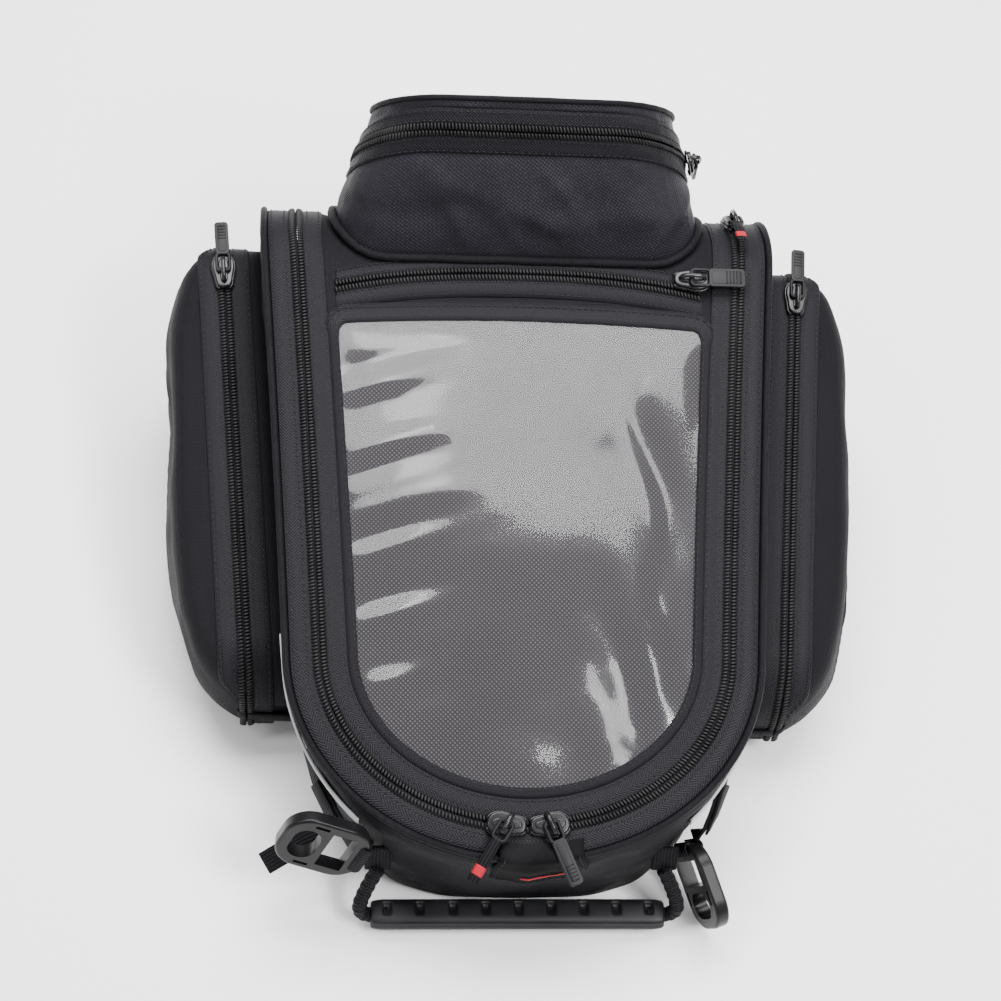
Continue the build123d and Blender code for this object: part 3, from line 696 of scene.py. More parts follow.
# piping on the rim seam, following the whole arch
pipe_path = rim(RIM - 1.7, 0.9)
pipe_path = pipe_path + np.array([[0.0, 0.0, 0.35 * fn(p, 0.05, 7.0)] for p in pipe_path])
dress(tube("rim_piping", pipe_path[::2], 1.75, M_BIND, sides=10), "bag", "tub_piping")

# a strip under the teeth, so no light passes between them
GUARD = ((-0.7, 0.0), (0.3, 0.35), (1.4, 0.0), (1.6, -1.5), (0.4, -1.6), (-0.7, -1.5))
guard = np.stack([rim(o, t) for o, t in GUARD], 1)
dress(solid("main_zip_guard", guard, M_LINING), "bag")


# ------------------------------------------------------------------ lid
S_MID = 0.5 * S_FOLD
LC = np.array([0.0, S_MID])


def build_lid():
    edge = -1.3

    def scaled(lam, off, t_fn):
        out = []
        for i in range(NC):
            c = CH[i] + off * CHN[i]
            q = LC + (c - LC) * lam
            out.append(S(q[0], q[1], t_fn(q)))
        return np.array(out)

    def top_t(q):
        return 0.35 * nz(q[0] * 0.03, q[1] * 0.03, 1.7)

    # under side from the middle out, round the edge, and the upper side back to the middle
    under = [scaled(lam, -14.0, lambda q: -3.8) for lam in np.linspace(0.85, 0.06, 9)]
    rows = [scaled(1.0, off, lambda q, t=t: t) for off, t in
            ((-14.0, -3.6), (edge - 0.6, -3.2), (edge, -2.6), (edge, -0.5), (edge - 0.8, -0.05), (-13.0, 0.0))]
    for lam in np.linspace(0.86, 0.06, 14):
        rows.append(scaled(lam, -13.0 * lam / 0.86 if lam < 0.86 else -13.0, top_t))
    full = under[::-1] + rows
    o = solid("lid_cloth", full, [M_SHELL, M_LINING], uref=len(under) + 5, vref=0)
    lim = (len(under) + 2) * NC
    extra = len(full) * NC
    # planar thread direction for the lid: across and along
    me = o.data
    uv = me.uv_layers[0].data
    for p in me.polygons:
        if max(v for v in p.vertices if v < extra) < lim or (p.vertices[-1] == extra):
            p.material_index = 1
        for li in p.loop_indices:
            co = me.vertices[me.loops[li].vertex_index].co
            uv[li].uv = (co.x, co.y - co.z)
    return o


lid = dress(build_lid(), "lid", "lid_shell")

# a soft roll along the fold, which closes it from behind when the lid stands open
hinge = [(x, Y_FAR + 0.25 * fn((x, 0, 0), 0.04, 9.0), Z_HINGE + 0.1) for x in np.linspace(-103, 103, 90)]
dress(tube("lid_hinge_roll", hinge, 1.7, M_SHELL, sides=10), "bag")


# ------------------------------------------------------------------ map window
S_WIN = (86.0 - Y_NEAR) / CS


def window_curve(inset):
    pts = [tuple(p) for p in CH - inset * CHN]
    lim, r = S_WIN, 7.0
    right = sorted([p for p in pts if p[0] >= 0 and p[1] < lim - r], key=lambda p: p[1])
    x_end = right[-1][0]
    for k in range(1, 7):
        a = radians(90 * k / 6)
        right.append((x_end - r + r * cos(a), lim - r + r * sin(a)))
    # the top edge bows very slightly towards the pouch
    for k in range(1, 12):
        x = (x_end - r) * (1 - k / 12)
        right.append((x, lim + 3.0 * (1 - (x / (x_end - r)) ** 2)))
    left = [(-x, s) for x, s in right[1:]][::-1]
    return even_out(resample(right + [(0.0, lim + 3.0)] + left, n=480, closed=True), 3)


WC = window_curve(15.0)
WMID = np.array([0.0, WC[:, 1].mean()])
WN = line_normals(WC)


def pvc_height(q, lam):
    """The clear sheet pillows off its backing, ripples in from the left seam and buckles down the right side."""
    def rise(a, at, width):
        """From 0 to 1 as a passes at."""
        return 1.0 / (1.0 + exp(-(a - at) / width))

    x, s = q
    h = 3.2 * max(0.0, 1 - lam ** 2) ** 0.5
    left = exp(-((x + 88.0) / 40.0) ** 2)
    h += 0.85 * left * sin(2 * pi * (s + 7.0 * sin(0.045 * x)) / 30.0 + 0.4)
    h += 0.35 * left * sin(2 * pi * (s - 0.3 * x) / 17.0 + 1.4)
    c = 64.0 + 8.0 * sin(s / 21.0 + 0.9)
    band = rise(s, 105.0, 9.0) * rise(-s, -224.0, 8.0)
    h -= 1.5 * band * exp(-((x - c) / 8.5) ** 2)
    h += 1.3 * rise(-s, -95.0, 14.0) * nz(x * 0.024 + 3.0, s * 0.040, 2.2)
    edge = exp(-((x - 66.0) / 26.0) ** 2) * rise(-s, -118.0, 10.0)
    h += 1.4 * edge * sin(2 * pi * (x + 0.35 * s) / 41.0 + 0.9)
    h += 1.0 * nz(x * 0.013 + 4.0, s * 0.016, 0.3)
    h += 0.5 * sin(0.05 * s + 0.022 * x + 1.1)
    return 1.2 + max(-0.6, h * (1.0 - lam ** 10))


def scaled_window(lam, off, t_fn):
    out = []
    for c, n in zip(WC, WN):
        q = WMID + (c + off * n - WMID) * lam
        out.append(S(q[0], q[1], t_fn(q)))
    return np.array(out)


lams = [1.0, 0.985, 0.965, 0.94] + list(np.linspace(0.91, 0.03, 44))
pvc = grid("map_window_pvc", [scaled_window(l, -0.8, lambda q, l=l: pvc_height(q, l)) for l in lams], M_PVC,
           closed=True, cap1=True)
dress(pvc, "lid", "window_pvc")


def back_t(q):
    return 0.55 + 0.15 * nz(q[0] * 0.05, q[1] * 0.05, 2)


backing = grid("map_backing", [scaled_window(l, 0.0, back_t) for l in np.linspace(1.0, 0.05, 16)], M_BACK,
               closed=True, cap1=True)
me = backing.data
for li, lp in enumerate(me.loops):
    c0 = me.vertices[lp.vertex_index].co
    me.uv_layers[0].data[li].uv = (c0.x, c0.y)
dress(backing, "lid", "window_backing")

# stitched binding round the window: narrow at the sides, wide across the top
top_w = np.array([1.0 / (1.0 + exp(-(p[1] - (S_WIN - 6)) / 2.0)) for p in WC])
b_rows = []
for f, t in ((-2.6, 0.9), (-2.7, 1.75), (-1.2, 2.1), (0.6, 1.95), (1.9, 1.3), (2.2, 0.2)):
    row = []
    for i in range(len(WC)):
        p = WC[i] + f * (1.0 + (2.0 if f > 0 else 0.6) * top_w[i]) * WN[i]
        row.append(S(p[0], p[1], t + 0.2 * nz(p[0] * .08, p[1] * .08, 8)))
    b_rows.append(row)
dress(grid("window_binding_tape", b_rows, M_TAPE, closed=True), "lid", "window_binding")
wst = []
for f in (-1.6, 3.4):
    pts, ups = [], []
    for i in range(len(WC)):
        if f > 0 and top_w[i] < 0.5:
            continue
        p = WC[i] + f * WN[i]
        pts.append(S(p[0], p[1], 1.95 if f < 0 else 1.9))
        ups.append(S_up(*p))
    if f > 0:
        o = np.argsort([p[0] for p in pts])
        pts, ups = [pts[k] for k in o], [ups[k] for k in o]
    wst.append(stitches("w", pts, ups, 2.4, 1.1, closed=f < 0))
dress(join("window_stitching", wst), "lid")

# ------------------------------------------------------------------ map zip across the top of the window
S_MAP = (108.0 - Y_NEAR) / CS
MAP_X = np.linspace(-91.0, 91.0, 120)


def map_s(x):
    return S_MAP - 9.0 * (abs(x) / 91.0) ** 2.4 + 1.5


def map_line(d, t):
    """A line beside the map zip, d further up the lid and t out of it."""
    return np.array([S(x, map_s(x) + d, t) for x in MAP_X])


def map_strip(d0, d1):
    rows = ((d0, -0.1), (d0, 0.8), (0.5 * (d0 + d1), 0.95), (d1, 0.8), (d1, -0.1))
    return grid("t", [map_line(d, tt) for d, tt in rows], M_TAPE)


mt = join("map_zip_tapes", [map_strip(1.0, 9.5), map_strip(-12.0, -1.0)])
dress(mt, "lid", "map_zip_tape")
ml = map_line(0.0, 0.0)
mn, mo = norm_rows(map_line(0.0, 1.0) - ml), norm_rows(map_line(1.0, 0.0) - ml)
dress(join("map_zip_teeth", [teeth("a", ml, mn, mo), teeth("b", ml, mn, -mo)]), "lid", "map_zip_coil")
ms = [stitches("s", map_line(d, 0.9), mn) for d in (4.4, 8.4, -4.4, -10.6)]
dress(join("map_zip_stitching", ms), "lid")


# ------------------------------------------------------------------ top pouch
PT, P_Y, P_Z, P_H, P_D = radians(25.0), 118.0, 144.5, 84.0, 60.0
P_W, P_WT, P_R = 188.0, 136.0, 28.0
TW, TP, PART_H = tan(radians(32.0)), tan(radians(40.0)), 67.0
U2, D2 = (sin(PT), cos(PT)), (cos(PT), -sin(PT))


def PP(x, d, h):
    return np.array([x, P_Y + d * D2[0] + h * U2[0], P_Z + d * D2[1] + h * U2[1]])


def rrect(w, d, r, n=240):
    """Rounded rectangle centred on (0, P_D / 2), from the middle of the front going round by the right."""
    hx, hd = w / 2, d / 2
    pts = [(0.0, -hd)]
    for cx, cy, a0 in ((hx - r, -hd + r, -90), (hx - r, hd - r, 0), (-hx + r, hd - r, 90), (-hx + r, -hd + r, 180)):
        for k in range(7):
            a = radians(a0 + 15 * k)
            pts.append((cx + r * cos(a), cy + r * sin(a)))
    c = resample(pts, n=n, closed=True)
    c[:, 1] += P_D / 2
    return c


RB, RT = rrect(P_W, P_D, P_R), rrect(P_WT, P_D, P_R)
RBN = line_normals(RB)
NPO = len(RB)


def pouch_plan(i, h):
    """The pouch narrows evenly from its base outline to its top one."""
    return RB[i] * (1 - h / P_H) + RT[i] * (h / P_H)


def pouch_at(i, h, off=0.0):
    return PP(*(pouch_plan(i, h) + off * RBN[i]), h)


def h_sloped(i, h0, slope):
    """Height where a plane that falls away from h0 at the front meets this station."""
    h = 50.0
    for _ in range(12):
        h = h0 - pouch_plan(i, h)[1] * slope
    return h


def under_profile(p):
    x, y, z = p
    if y <= Y_T:
        return z < lid_z(y)
    if y < CY or z > CZ:
        return hypot(y - CY, z - CZ) < R_SH if z > CZ else y < Y_FAR
    return y < Y_FAR


def h_base(i, off=0.0):
    lo, hi = -45.0, 30.0
    for _ in range(22):
        m = 0.5 * (lo + hi)
        if under_profile(pouch_at(i, m, off)):
            lo = m
        else:
            hi = m
    return hi


# heights of the zip's middle, the top seam and the base seam, and the outward normals
HP = np.array([h_sloped(i, PART_H, TP) for i in range(NPO)])
HT = np.array([h_sloped(i, P_H, TW) for i in range(NPO)])
HB = np.array([h_base(i) for i in range(NPO)])
NB = np.array([norm(pouch_at(i, HP[i], 1.0) - pouch_at(i, HP[i], 0.0)) for i in range(NPO)])


def puff(i, v, amp):
    """Padded cloth: swells between its seams, more in the flats than at the corners."""
    c = abs(RB[i][0]) / (P_W / 2)
    flat = 1.0 - 0.6 * c ** 3
    return amp * flat * sin(pi * min(max(v, 0.0), 1.0)) ** 0.7


def pouch_rows(h0, h1, n, off, amp, seed):
    rows = []
    for k in range(n + 1):
        v = k / n
        row = []
        for i in range(NPO):
            h = h0[i] * (1 - v) + h1[i] * v
            p = pouch_at(i, h, off)
            w = fn(p, 0.035, seed) * 1.7 + fn(p, 0.10, seed + 3) * 0.55
            line_v = 0.45 + 0.2 * fn((p[0], 0, 0), 0.02, seed)
            crease = 1.5 * exp(-((v - line_v) / 0.10) ** 2) * fn(p, 0.02, seed + 8)
            e = sin(pi * v) ** 0.5 if amp else 1.0
            dn = nz(0.020 * p[0] + 0.026 * p[2], 0.012 * p[2] - 0.010 * p[0], seed)
            crease += 1.9 * max(0.0, 1.0 - 3.2 * abs(dn)) ** 2 * (1.0 if amp > 1 else 0.3)
            p = p + NB[i] * (puff(i, v, amp) + (w + crease) * e * (1.0 if amp else 0.15))
            row.append(p)
        rows.append(row)
    return rows


def inner_rows(h0, h1, n, off):
    return [[pouch_at(i, h0[i] * (1 - k / n) + h1[i] * k / n, off) for i in range(NPO)] for k in range(n + 1)]


def edge_rows(*steps):
    """Rows round the zip's middle height: up by dh, out by off."""
    return [[pouch_at(i, HP[i] + dh, off) for i in range(NPO)] for dh, off in steps]


rows = pouch_rows(HB - 0.5, HP - 11.5, 20, -0.6, 2.6, 31.0) + edge_rows((-1.0, -0.3), (-0.8, -1.6), (-2.0, -2.8))
rows += inner_rows(HP - 8.0, HB + 3.5, 8, -3.0)
rows += inner_rows(HB + 3.0, HB + 3.0, 1, -14.0)[:1]
pb = grid("pouch_cloth", rows, [M_POUCH, M_LINING], closed=True, cap1=True, uref=10, vref=0)
for p in pb.data.polygons:
    if min(p.vertices) >= 23 * NPO:
        p.material_index = 1
dress(pb, "lid", "pouch_body")

# cap: skirt above the zip, top panel with a rounded edge, lining inside
cap_rows = inner_rows(HP + 2.0, HT - 4.0, 5, -3.0)
mid = PP(0.0, P_D / 2, P_H - P_D / 2 * TW)
nrm_top = norm(np.cross(PP(1, 0, 0) - PP(0, 0, 0), PP(0, 1, -TW) - PP(0, 0, 0)))
if nrm_top[2] < 0:
    nrm_top = -nrm_top


def top_rows(lams, drop, off, amp=0.0):
    rows = []
    for lam in lams:
        row = []
        for i in range(NPO):
            p = pouch_at(i, HT[i], off)
            q = mid + (p - mid) * lam
            dome = amp * (1 - lam ** 2.2) + fn(q, 0.04, 12.0) * 1.2 * (1 - lam) * (1 if amp else 0)
            row.append(q + nrm_top * (dome - drop))
        rows.append(row)
    return rows


cap_in = top_rows(np.linspace(0.08, 0.9, 6), 3.2, -3.0)
full = cap_in + cap_rows[::-1]
full += edge_rows((0.8, -1.6), (1.0, -0.3))
n_in = len(full)
full += pouch_rows(HP + 10.5, HT - 1.6, 5, -0.4, 0.8, 45.0)
full += top_rows([0.985, 0.96, 0.90, 0.80, 0.66, 0.5, 0.34, 0.18, 0.06], 0.0, -0.3, 4.5)
pc = solid("pouch_cap_cloth", full, [M_POUCH, M_LINING], uref=n_in + 2, vref=0)
lim = (n_in - 2) * NPO
for p in pc.data.polygons:
    if min(p.vertices) < lim and max(v for v in p.vertices if v < len(full) * NPO) < lim + NPO:
        p.material_index = 1
dress(pc, "pouch_lid", "pouch_lid_shell")

# pouch zip round the front and both sides
PORD = open_run(NPO, lambda i: RB[i][1] < P_D - 10.0)


def p_line(dh, off):
    return np.array([pouch_at(i, HP[i] + dh, off) for i in PORD])


PN = NB[PORD]
PU = norm_rows(p_line(1.0, 0.0) - p_line(0.0, 0.0))
for nm, node, sg, body, wide, far, row2 in (("low", "lower", -1, "lid", 11.3, 12.2, 10.8),
                                            ("up", "upper", 1, "pouch_lid", 10.4, 11.0, 9.6)):
    tape = ((0.9, 0.1), (0.9, 0.8), (5, 1.0), (wide, 0.9), (far, 0.5), (far, -0.6))
    o = grid("pouch_tape_" + nm, [p_line(sg * h, t) for h, t in tape], M_TAPE)
    dress(o, body, "pouch_%s_tape" % node)
    dress(teeth("pouch_teeth_" + nm, p_line(0, 0), PN, sg * PU), body, "pouch_%s_coil" % node)
    rows = [stitches("s", p_line(sg * h, t), PN) for h, t in ((4.6, 1.0), (row2, 0.9))]
    dress(join("pouch_stitching_" + nm, rows), body)

# rolled piping where the pouch meets the lid, and a thinner one round its top seam
roll = [pouch_at(i, h_base(i, 2.0) + 2.3, 1.6) + 0.4 * fn((*RB[i], 0), 0.06, 3) * NB[i]
        for i in open_run(NPO, lambda i: RB[i][1] < P_D - 7.0)]
dress(tube("pouch_base_roll", roll, 2.3, M_BIND, sides=10), "lid", "pouch_base_piping")
roll = [pouch_at(i, HT[i] - 0.8, 0.1) for i in range(NPO)]
dress(tube("pouch_top_roll", roll, 1.35, M_BIND, closed=True), "pouch_lid", "pouch_top_piping")


# ------------------------------------------------------------------ side pockets
PZ0, PDROP, PY0, PY1, PSH = 20.0, 35.0, -80.0, 150.0, 3.0
CXN, CXF, OXN, OXF = 131.0, 149.0, 166.0, 178.0
KX = (CXF - CXN) / (PY1 - PY0)
PROFILE = [(0.0, 0.56), (0.025, 0.74), (0.08, 0.87), (0.2, 0.965), (0.4, 1.0), (0.6, 1.0), (0.8, 0.975), (0.92, 0.88),
           (0.975, 0.74), (1.0, 0.56)]
PKR = 24.0                                 # the gusset turns down over both ends of a pocket


def pk_y(side, f):
    return PY0 + (PSH if side < 0 else -PSH) + (PY1 - PY0) * f


def pk_chain(y):
    return CXN + KX * (y - PY0)


def wall_x(y, z):
    k = np.argmin(np.abs(WALL_Y - y))
    foot, top = WALL_FOOT[k], WALL_TOP[k]
    v = np.clip((z - foot[2]) / max(top[2] - foot[2], 1.0), 0, 1)
    return foot[0] * (1 - v) + top[0] * v


_top = ring(RIM, 0.0)
_th = np.arctan2(_top[:, 1], _top[:, 0])
_sel = [i for i in range(NC) if _top[i][0] > 40 and -150 < _top[i][1] < 165 and CH[i][1] < S_D]
WALL_TOP = _top[_sel]
WALL_FOOT = np.array([base_point(_th[i], 0.0, 5.6) for i in _sel])
WALL_Y = WALL_TOP[:, 1]


def pocket_out(f):
    """Outer face of a pocket at this share of its length, drawn in at both ends."""
    xo = OXN + (OXF - OXN) * f
    return 95.0 + (xo - 95.0) * np.interp(f, *zip(*PROFILE))


F_ST = 0.5 - 0.5 * np.cos(np.linspace(0, pi, 66))  # stations, closer together at the ends


def smooth_arr(a, times):
    """Smooths an open row of values, ends held."""
    a = np.array(a, float)
    for _ in range(times):
        a[1:-1] = 0.25 * a[:-2] + 0.5 * a[1:-1] + 0.25 * a[2:]
    return a


def end_drop(side, y):
    """How far the pocket's top edge has turned down near its ends."""
    d = min(y - pk_y(side, 0.0), pk_y(side, 1.0) - y)
    if d >= PKR:
        return 0.0
    return PKR - sqrt(max(0.0, PKR ** 2 - (PKR - d) ** 2))


def pocket_rows(side, outer, seed):
    """Cross-sections along the pocket. outer gives the moving shell, otherwise the fixed back half."""
    xo = smooth_arr([pocket_out(f) for f in F_ST], 5)
    rows = []
    for f, x_out in zip(F_ST, xo):
        y = pk_y(side, f)
        zt = lid_z(y) - PDROP - end_drop(side, y)
        xc = pk_chain(y)
        end = min(f, 1 - f) / 0.10
        if outer:
            x_edge = max(x_out, xc + 3.0)
            g = xc + 0.6
            wdt = x_edge - g
            arc_r = min(11.0, wdt * 0.5)
            top = [(g, zt - 0.2), (g + (wdt - arc_r) * 0.5, zt + 0.2), (x_edge - arc_r, zt)]
            arc = [(x_edge - arc_r + arc_r * sin(q), zt - arc_r + arc_r * cos(q))
                   for q in np.radians([15, 30, 45, 60, 75, 90])]
            zb = PZ0 + 0.5
            br = min(arc_r, 9.0)
            nwall = 26
            wall = []
            for k in range(1, nwall):
                v = k / nwall
                z = (zt - arc_r) * (1 - v) + (zb + br) * v
                wall.append((x_edge + 1.3 * sin(pi * v) * min(1.0, wdt / 22.0), z))
            low = [(x_edge - br + br * cos(q), zb + br - br * sin(q))
                   for q in np.radians([0, 22, 45, 67, 90])]
            bot = [(g + (x_edge - br - g) * q, zb) for q in (0.6, 0.3, 0.0)]
            pts = top + arc + wall + low + bot
        else:
            g = xc - 0.6
            xi = wall_x(y, zt) + 0.8
            xb = wall_x(y, PZ0) + 1.2
            top = [(g, zt - 0.2)] + [(g + (xi - g) * q, zt + 0.3 * sin(pi * q)) for q in (0.3, 0.65, 1.0)]
            zs = [zt * (1 - k / 10) + (PZ0 + 0.5) * k / 10 for k in range(1, 10)]
            wall = [(wall_x(y, z) + 2.2, z) for z in zs]
            bot = [(xb, PZ0 + 0.6)] + [(xb + (g - xb) * q, PZ0 + 0.5) for q in (0.35, 0.7, 1.0)]
            pts = top + wall + bot
        row = []
        for x, z in pts:
            p = np.array([x, y, z])
            if outer:
                hgt = min(1.0, max(0.0, (zt - z) / 14.0)) * min(1.0, max(0.0, (z - PZ0) / 10.0))
                amp = min(1.0, max(0.0, (x - xc) / 14.0)) * min(1.0, end) * hgt
                # broad hollows where the padding gives, and a few soft diagonal folds
                q = (y + 0.8 * z, z - 0.5 * y)
                big = nz(q[0] * 0.013 + seed, q[1] * 0.017, seed * 0.3)
                warp = nz(y * 0.02, z * 0.02, seed + 4.0)
                fold = 1.0 - abs(nz(q[0] * 0.009 + warp, q[1] * 0.030 + warp, seed * 0.7)) * 2.6
                w = 3.6 * big + 2.6 * max(0.0, fold) ** 3 - 0.9 + 0.5 * fn(p, 0.09, seed + 9)
                p = p + np.array([min(2.8, w) * amp, 0.0, 0.0])
            row.append((side * p[0], p[1], p[2]))
        rows.append(row)
    rows = np.array(rows)
    for _ in range(2 if outer else 1):
        rows[2:-2] = 0.5 * rows[2:-2] + 0.25 * (rows[1:-3] + rows[3:-1])
    return rows


def solidify(obj, t, offset=-1.0):
    m = obj.modifiers.new("thick", "SOLIDIFY")
    m.thickness = t
    m.offset = offset


def close_ends(obj, NR, NCOL):
    b = bmesh.new()
    b.from_mesh(obj.data)
    b.verts.ensure_lookup_table()
    uvl = b.loops.layers.uv.verify()
    for r in (0, NR - 1):
        f = b.faces.new([b.verts[r * NCOL + k] for k in range(NCOL)])
        f.smooth = True
        for lp in f.loops:
            lp[uvl].uv = (lp.vert.co.x, lp.vert.co.z)
    bmesh.ops.recalc_face_normals(b, faces=b.faces)
    b.to_mesh(obj.data)
    b.free()


def pocket_path(side):
    """Middle line of the pocket zip in (y, z): up the near end, along the top and down the far end."""
    y0, y1 = pk_y(side, 0.0), pk_y(side, 1.0)
    pts = []
    z0 = lid_z(y0) - PDROP - PKR
    pts += [(y0, z0 - d) for d in (16.0, 8.0)]
    for k in range(41):
        y = y0 + PKR * (1 - cos(radians(90 * k / 40)))
        pts.append((y, lid_z(y) - PDROP - end_drop(side, y)))
    for y in np.linspace(y0 + PKR + 2, y1 - PKR - 2, 60):
        pts.append((y, lid_z(y) - PDROP))
    for k in range(41):
        y = y1 - PKR * (1 - cos(radians(90 - 90 * k / 40)))
        pts.append((y, lid_z(y) - PDROP - end_drop(side, y)))
    z1 = lid_z(y1) - PDROP - PKR
    pts.append((y1, z1 - 7.0))
    c = resample(pts, n=190)
    for _ in range(2):
        c[1:-1] = 0.5 * c[1:-1] + 0.25 * (c[:-2] + c[2:])
    t = np.gradient(c, axis=0)
    t /= np.linalg.norm(t, axis=1)[:, None]
    return c, np.stack([-t[:, 1], t[:, 0]], axis=1)


for side, nm in ((-1, "left"), (1, "right")):
    flap = "pocket_flap_" + nm
    for part, body, node, outer, seed, thick, fill in (("shell", flap, "flap", True, 60.0 + 7 * side, 0.0022, 0.5),
                                                       ("inner", "bag", "back", False, 70.0 + side, 0.0016, 0.3)):
        rows = pocket_rows(side, outer, seed)
        o = grid("pocket_%s_%s" % (nm, part), rows, M_SHELL, uref=len(rows) // 2)
        close_ends(o, len(rows), len(rows[0]))
        solidify(o, thick)
        dress(o, body, "pocket_%s_%s" % (nm, node))
    PC, PNM = pocket_path(side)
    xo_tab = smooth_arr([pocket_out(f) for f in F_ST], 5)
    room = []
    for y, _z in PC:
        f = (y - pk_y(side, 0.0)) / (PY1 - PY0)
        room.append(min(13.2, max(2.2, np.interp(f, F_ST, xo_tab) - pk_chain(y) - 1.2)))
    room = smooth_arr(room, 6)

    def pl(dx, t, side=side, PC=PC, PNM=PNM, room=room):
        k = room / 13.2 if dx > 0 else np.ones(len(PC))
        return np.array([(side * (pk_chain(PC[i][0]) + dx * (k[i] if dx > 1 else 1.0)), PC[i][0] + t * PNM[i][0],
                          PC[i][1] + t * PNM[i][1]) for i in range(len(PC))])

    nn = np.array([(0.0, n[0], n[1]) for n in PNM])
    oo = np.array([(side * 1.0, 0.0, 0.0)] * len(PC))
    offs = ((0.9, 0.1), (0.9, 0.8), (6, 1.0), (12.6, 0.9), (13.2, 0.4), (13.2, -0.4))
    for way, sg, body in (("o", 1, flap), ("i", -1, "bag")):
        node = "out" if sg > 0 else "in"
        o = grid("pocket_%s_tape_%s" % (nm, way), [pl(sg * d, t) for d, t in offs], M_TAPE)
        dress(o, body, "pocket_%s_tape_%s" % (nm, node))
        o = teeth("pocket_%s_teeth_%s" % (nm, way), pl(0, 0), nn, sg * oo)
        dress(o, body, "pocket_%s_coil_%s" % (nm, node))
        o = join("pocket_%s_stitch_%s" % (nm, way), [stitches("s", pl(sg * d, 0.95), nn) for d in (5.4, 11.6)])
        dress(o, body)
    guard = np.stack([pl(d, t) for d, t in ((-1.4, 0.0), (-0.3, 0.35), (0.6, 0.0), (0.5, -1.5), (-1.6, -1.5))], 1)
    guard = solid("pocket_%s_zip_guard" % nm, guard, M_LINING)
    dress(guard, "bag")
    # the panel sewn across each end under the zip, with a turned top edge
    for end, ye, sg in (("near", pk_y(side, 0.0), -1.0), ("far", pk_y(side, 1.0), 1.0)):
        ztop = lid_z(ye) - PDROP - PKR - (4.0 if sg < 0 else 2.0)
        zs = [PZ0 + 0.4, PZ0 + 3, 0.5 * (PZ0 + ztop), ztop - 3, ztop - 0.6, ztop, ztop - 0.4]
        dep = [0.6, 1.6, 2.6, 2.6, 2.4, 1.8, 1.0]
        xc = pk_chain(ye)
        x_far = OXN - 30.0 if sg < 0 else OXF - 29.0
        for part, body, xa, xb, pull in (("inner", "bag", wall_x(ye, 0.5 * ztop) - 1.0, xc - 0.5, 0.0),
                                         ("outer", flap, xc + 0.5, x_far, 1.6)):
            rows = []
            for z, dp in zip(zs, dep):
                rows.append([(side * (xa + (xb - xa) * q),
                              ye + sg * (dp + 0.5 * fn((xa + 9 * q, z, ye), 0.09, 3.0) - pull * q ** 3),
                              z + 1.2 * sin(2.2 * q + xa)) for q in np.linspace(0, 1, 12)])
            o = grid("pocket_%s_%s_panel_%s" % (nm, end, part), rows, M_SHELL, uref=2)
            solidify(o, 0.0009)
            dress(o, body)


# ------------------------------------------------------------------ local frames for hardware
class Frame:
    """Origin and axes in millimetres: x along, y across, z up."""

    def __init__(self, org, along, up):
        self.o = np.asarray(org, float)
        self.x = norm(along)
        z = np.asarray(up, float)
        self.z = norm(z - self.x * np.dot(z, self.x))
        self.y = np.cross(self.z, self.x)

    def p(self, x, y, z):
        return self.o + self.x * x + self.y * y + self.z * z


def soft_block(outline, z0, z1, F, mat, name, bevel, seg, taper=0.0):
    """A plate of any outline with rounded edges, in a local frame."""
    n = len(outline)
    verts = [F.p(x, y, z0) for x, y in outline] + [F.p(x * (1 - taper), y * (1 - taper), z1) for x, y in outline]
    faces = [tuple(range(n - 1, -1, -1)), tuple(range(n, 2 * n))]
    faces += [(i, (i + 1) % n, n + (i + 1) % n, n + i) for i in range(n)]
    o = make(name, verts, faces, None, mat)
    if bevel:
        b = bmesh.new()
        b.from_mesh(o.data)
        sharp = [e for e in b.edges if len(e.link_faces) == 2 and e.calc_face_angle(0) > 0.45]
        bmesh.ops.bevel(b, geom=sharp, offset=bevel * 0.001, segments=seg, profile=0.6, affect="EDGES",
                        clamp_overlap=True)
        for f in b.faces:
            f.smooth = True
        b.to_mesh(o.data)
        b.free()
    return o


def rounded(w, h, r, n):
    """Outline of a rounded rectangle, n steps to a corner."""
    out = []
    for sx, sy, a0 in ((1, 1, 0), (-1, 1, 90), (-1, -1, 180), (1, -1, 270)):
        for k in range(n + 1):
            a = radians(a0 + 90 * k / n)
            out.append((sx * (w / 2 - r) + r * cos(a), sy * (h / 2 - r) + r * sin(a)))
    return out


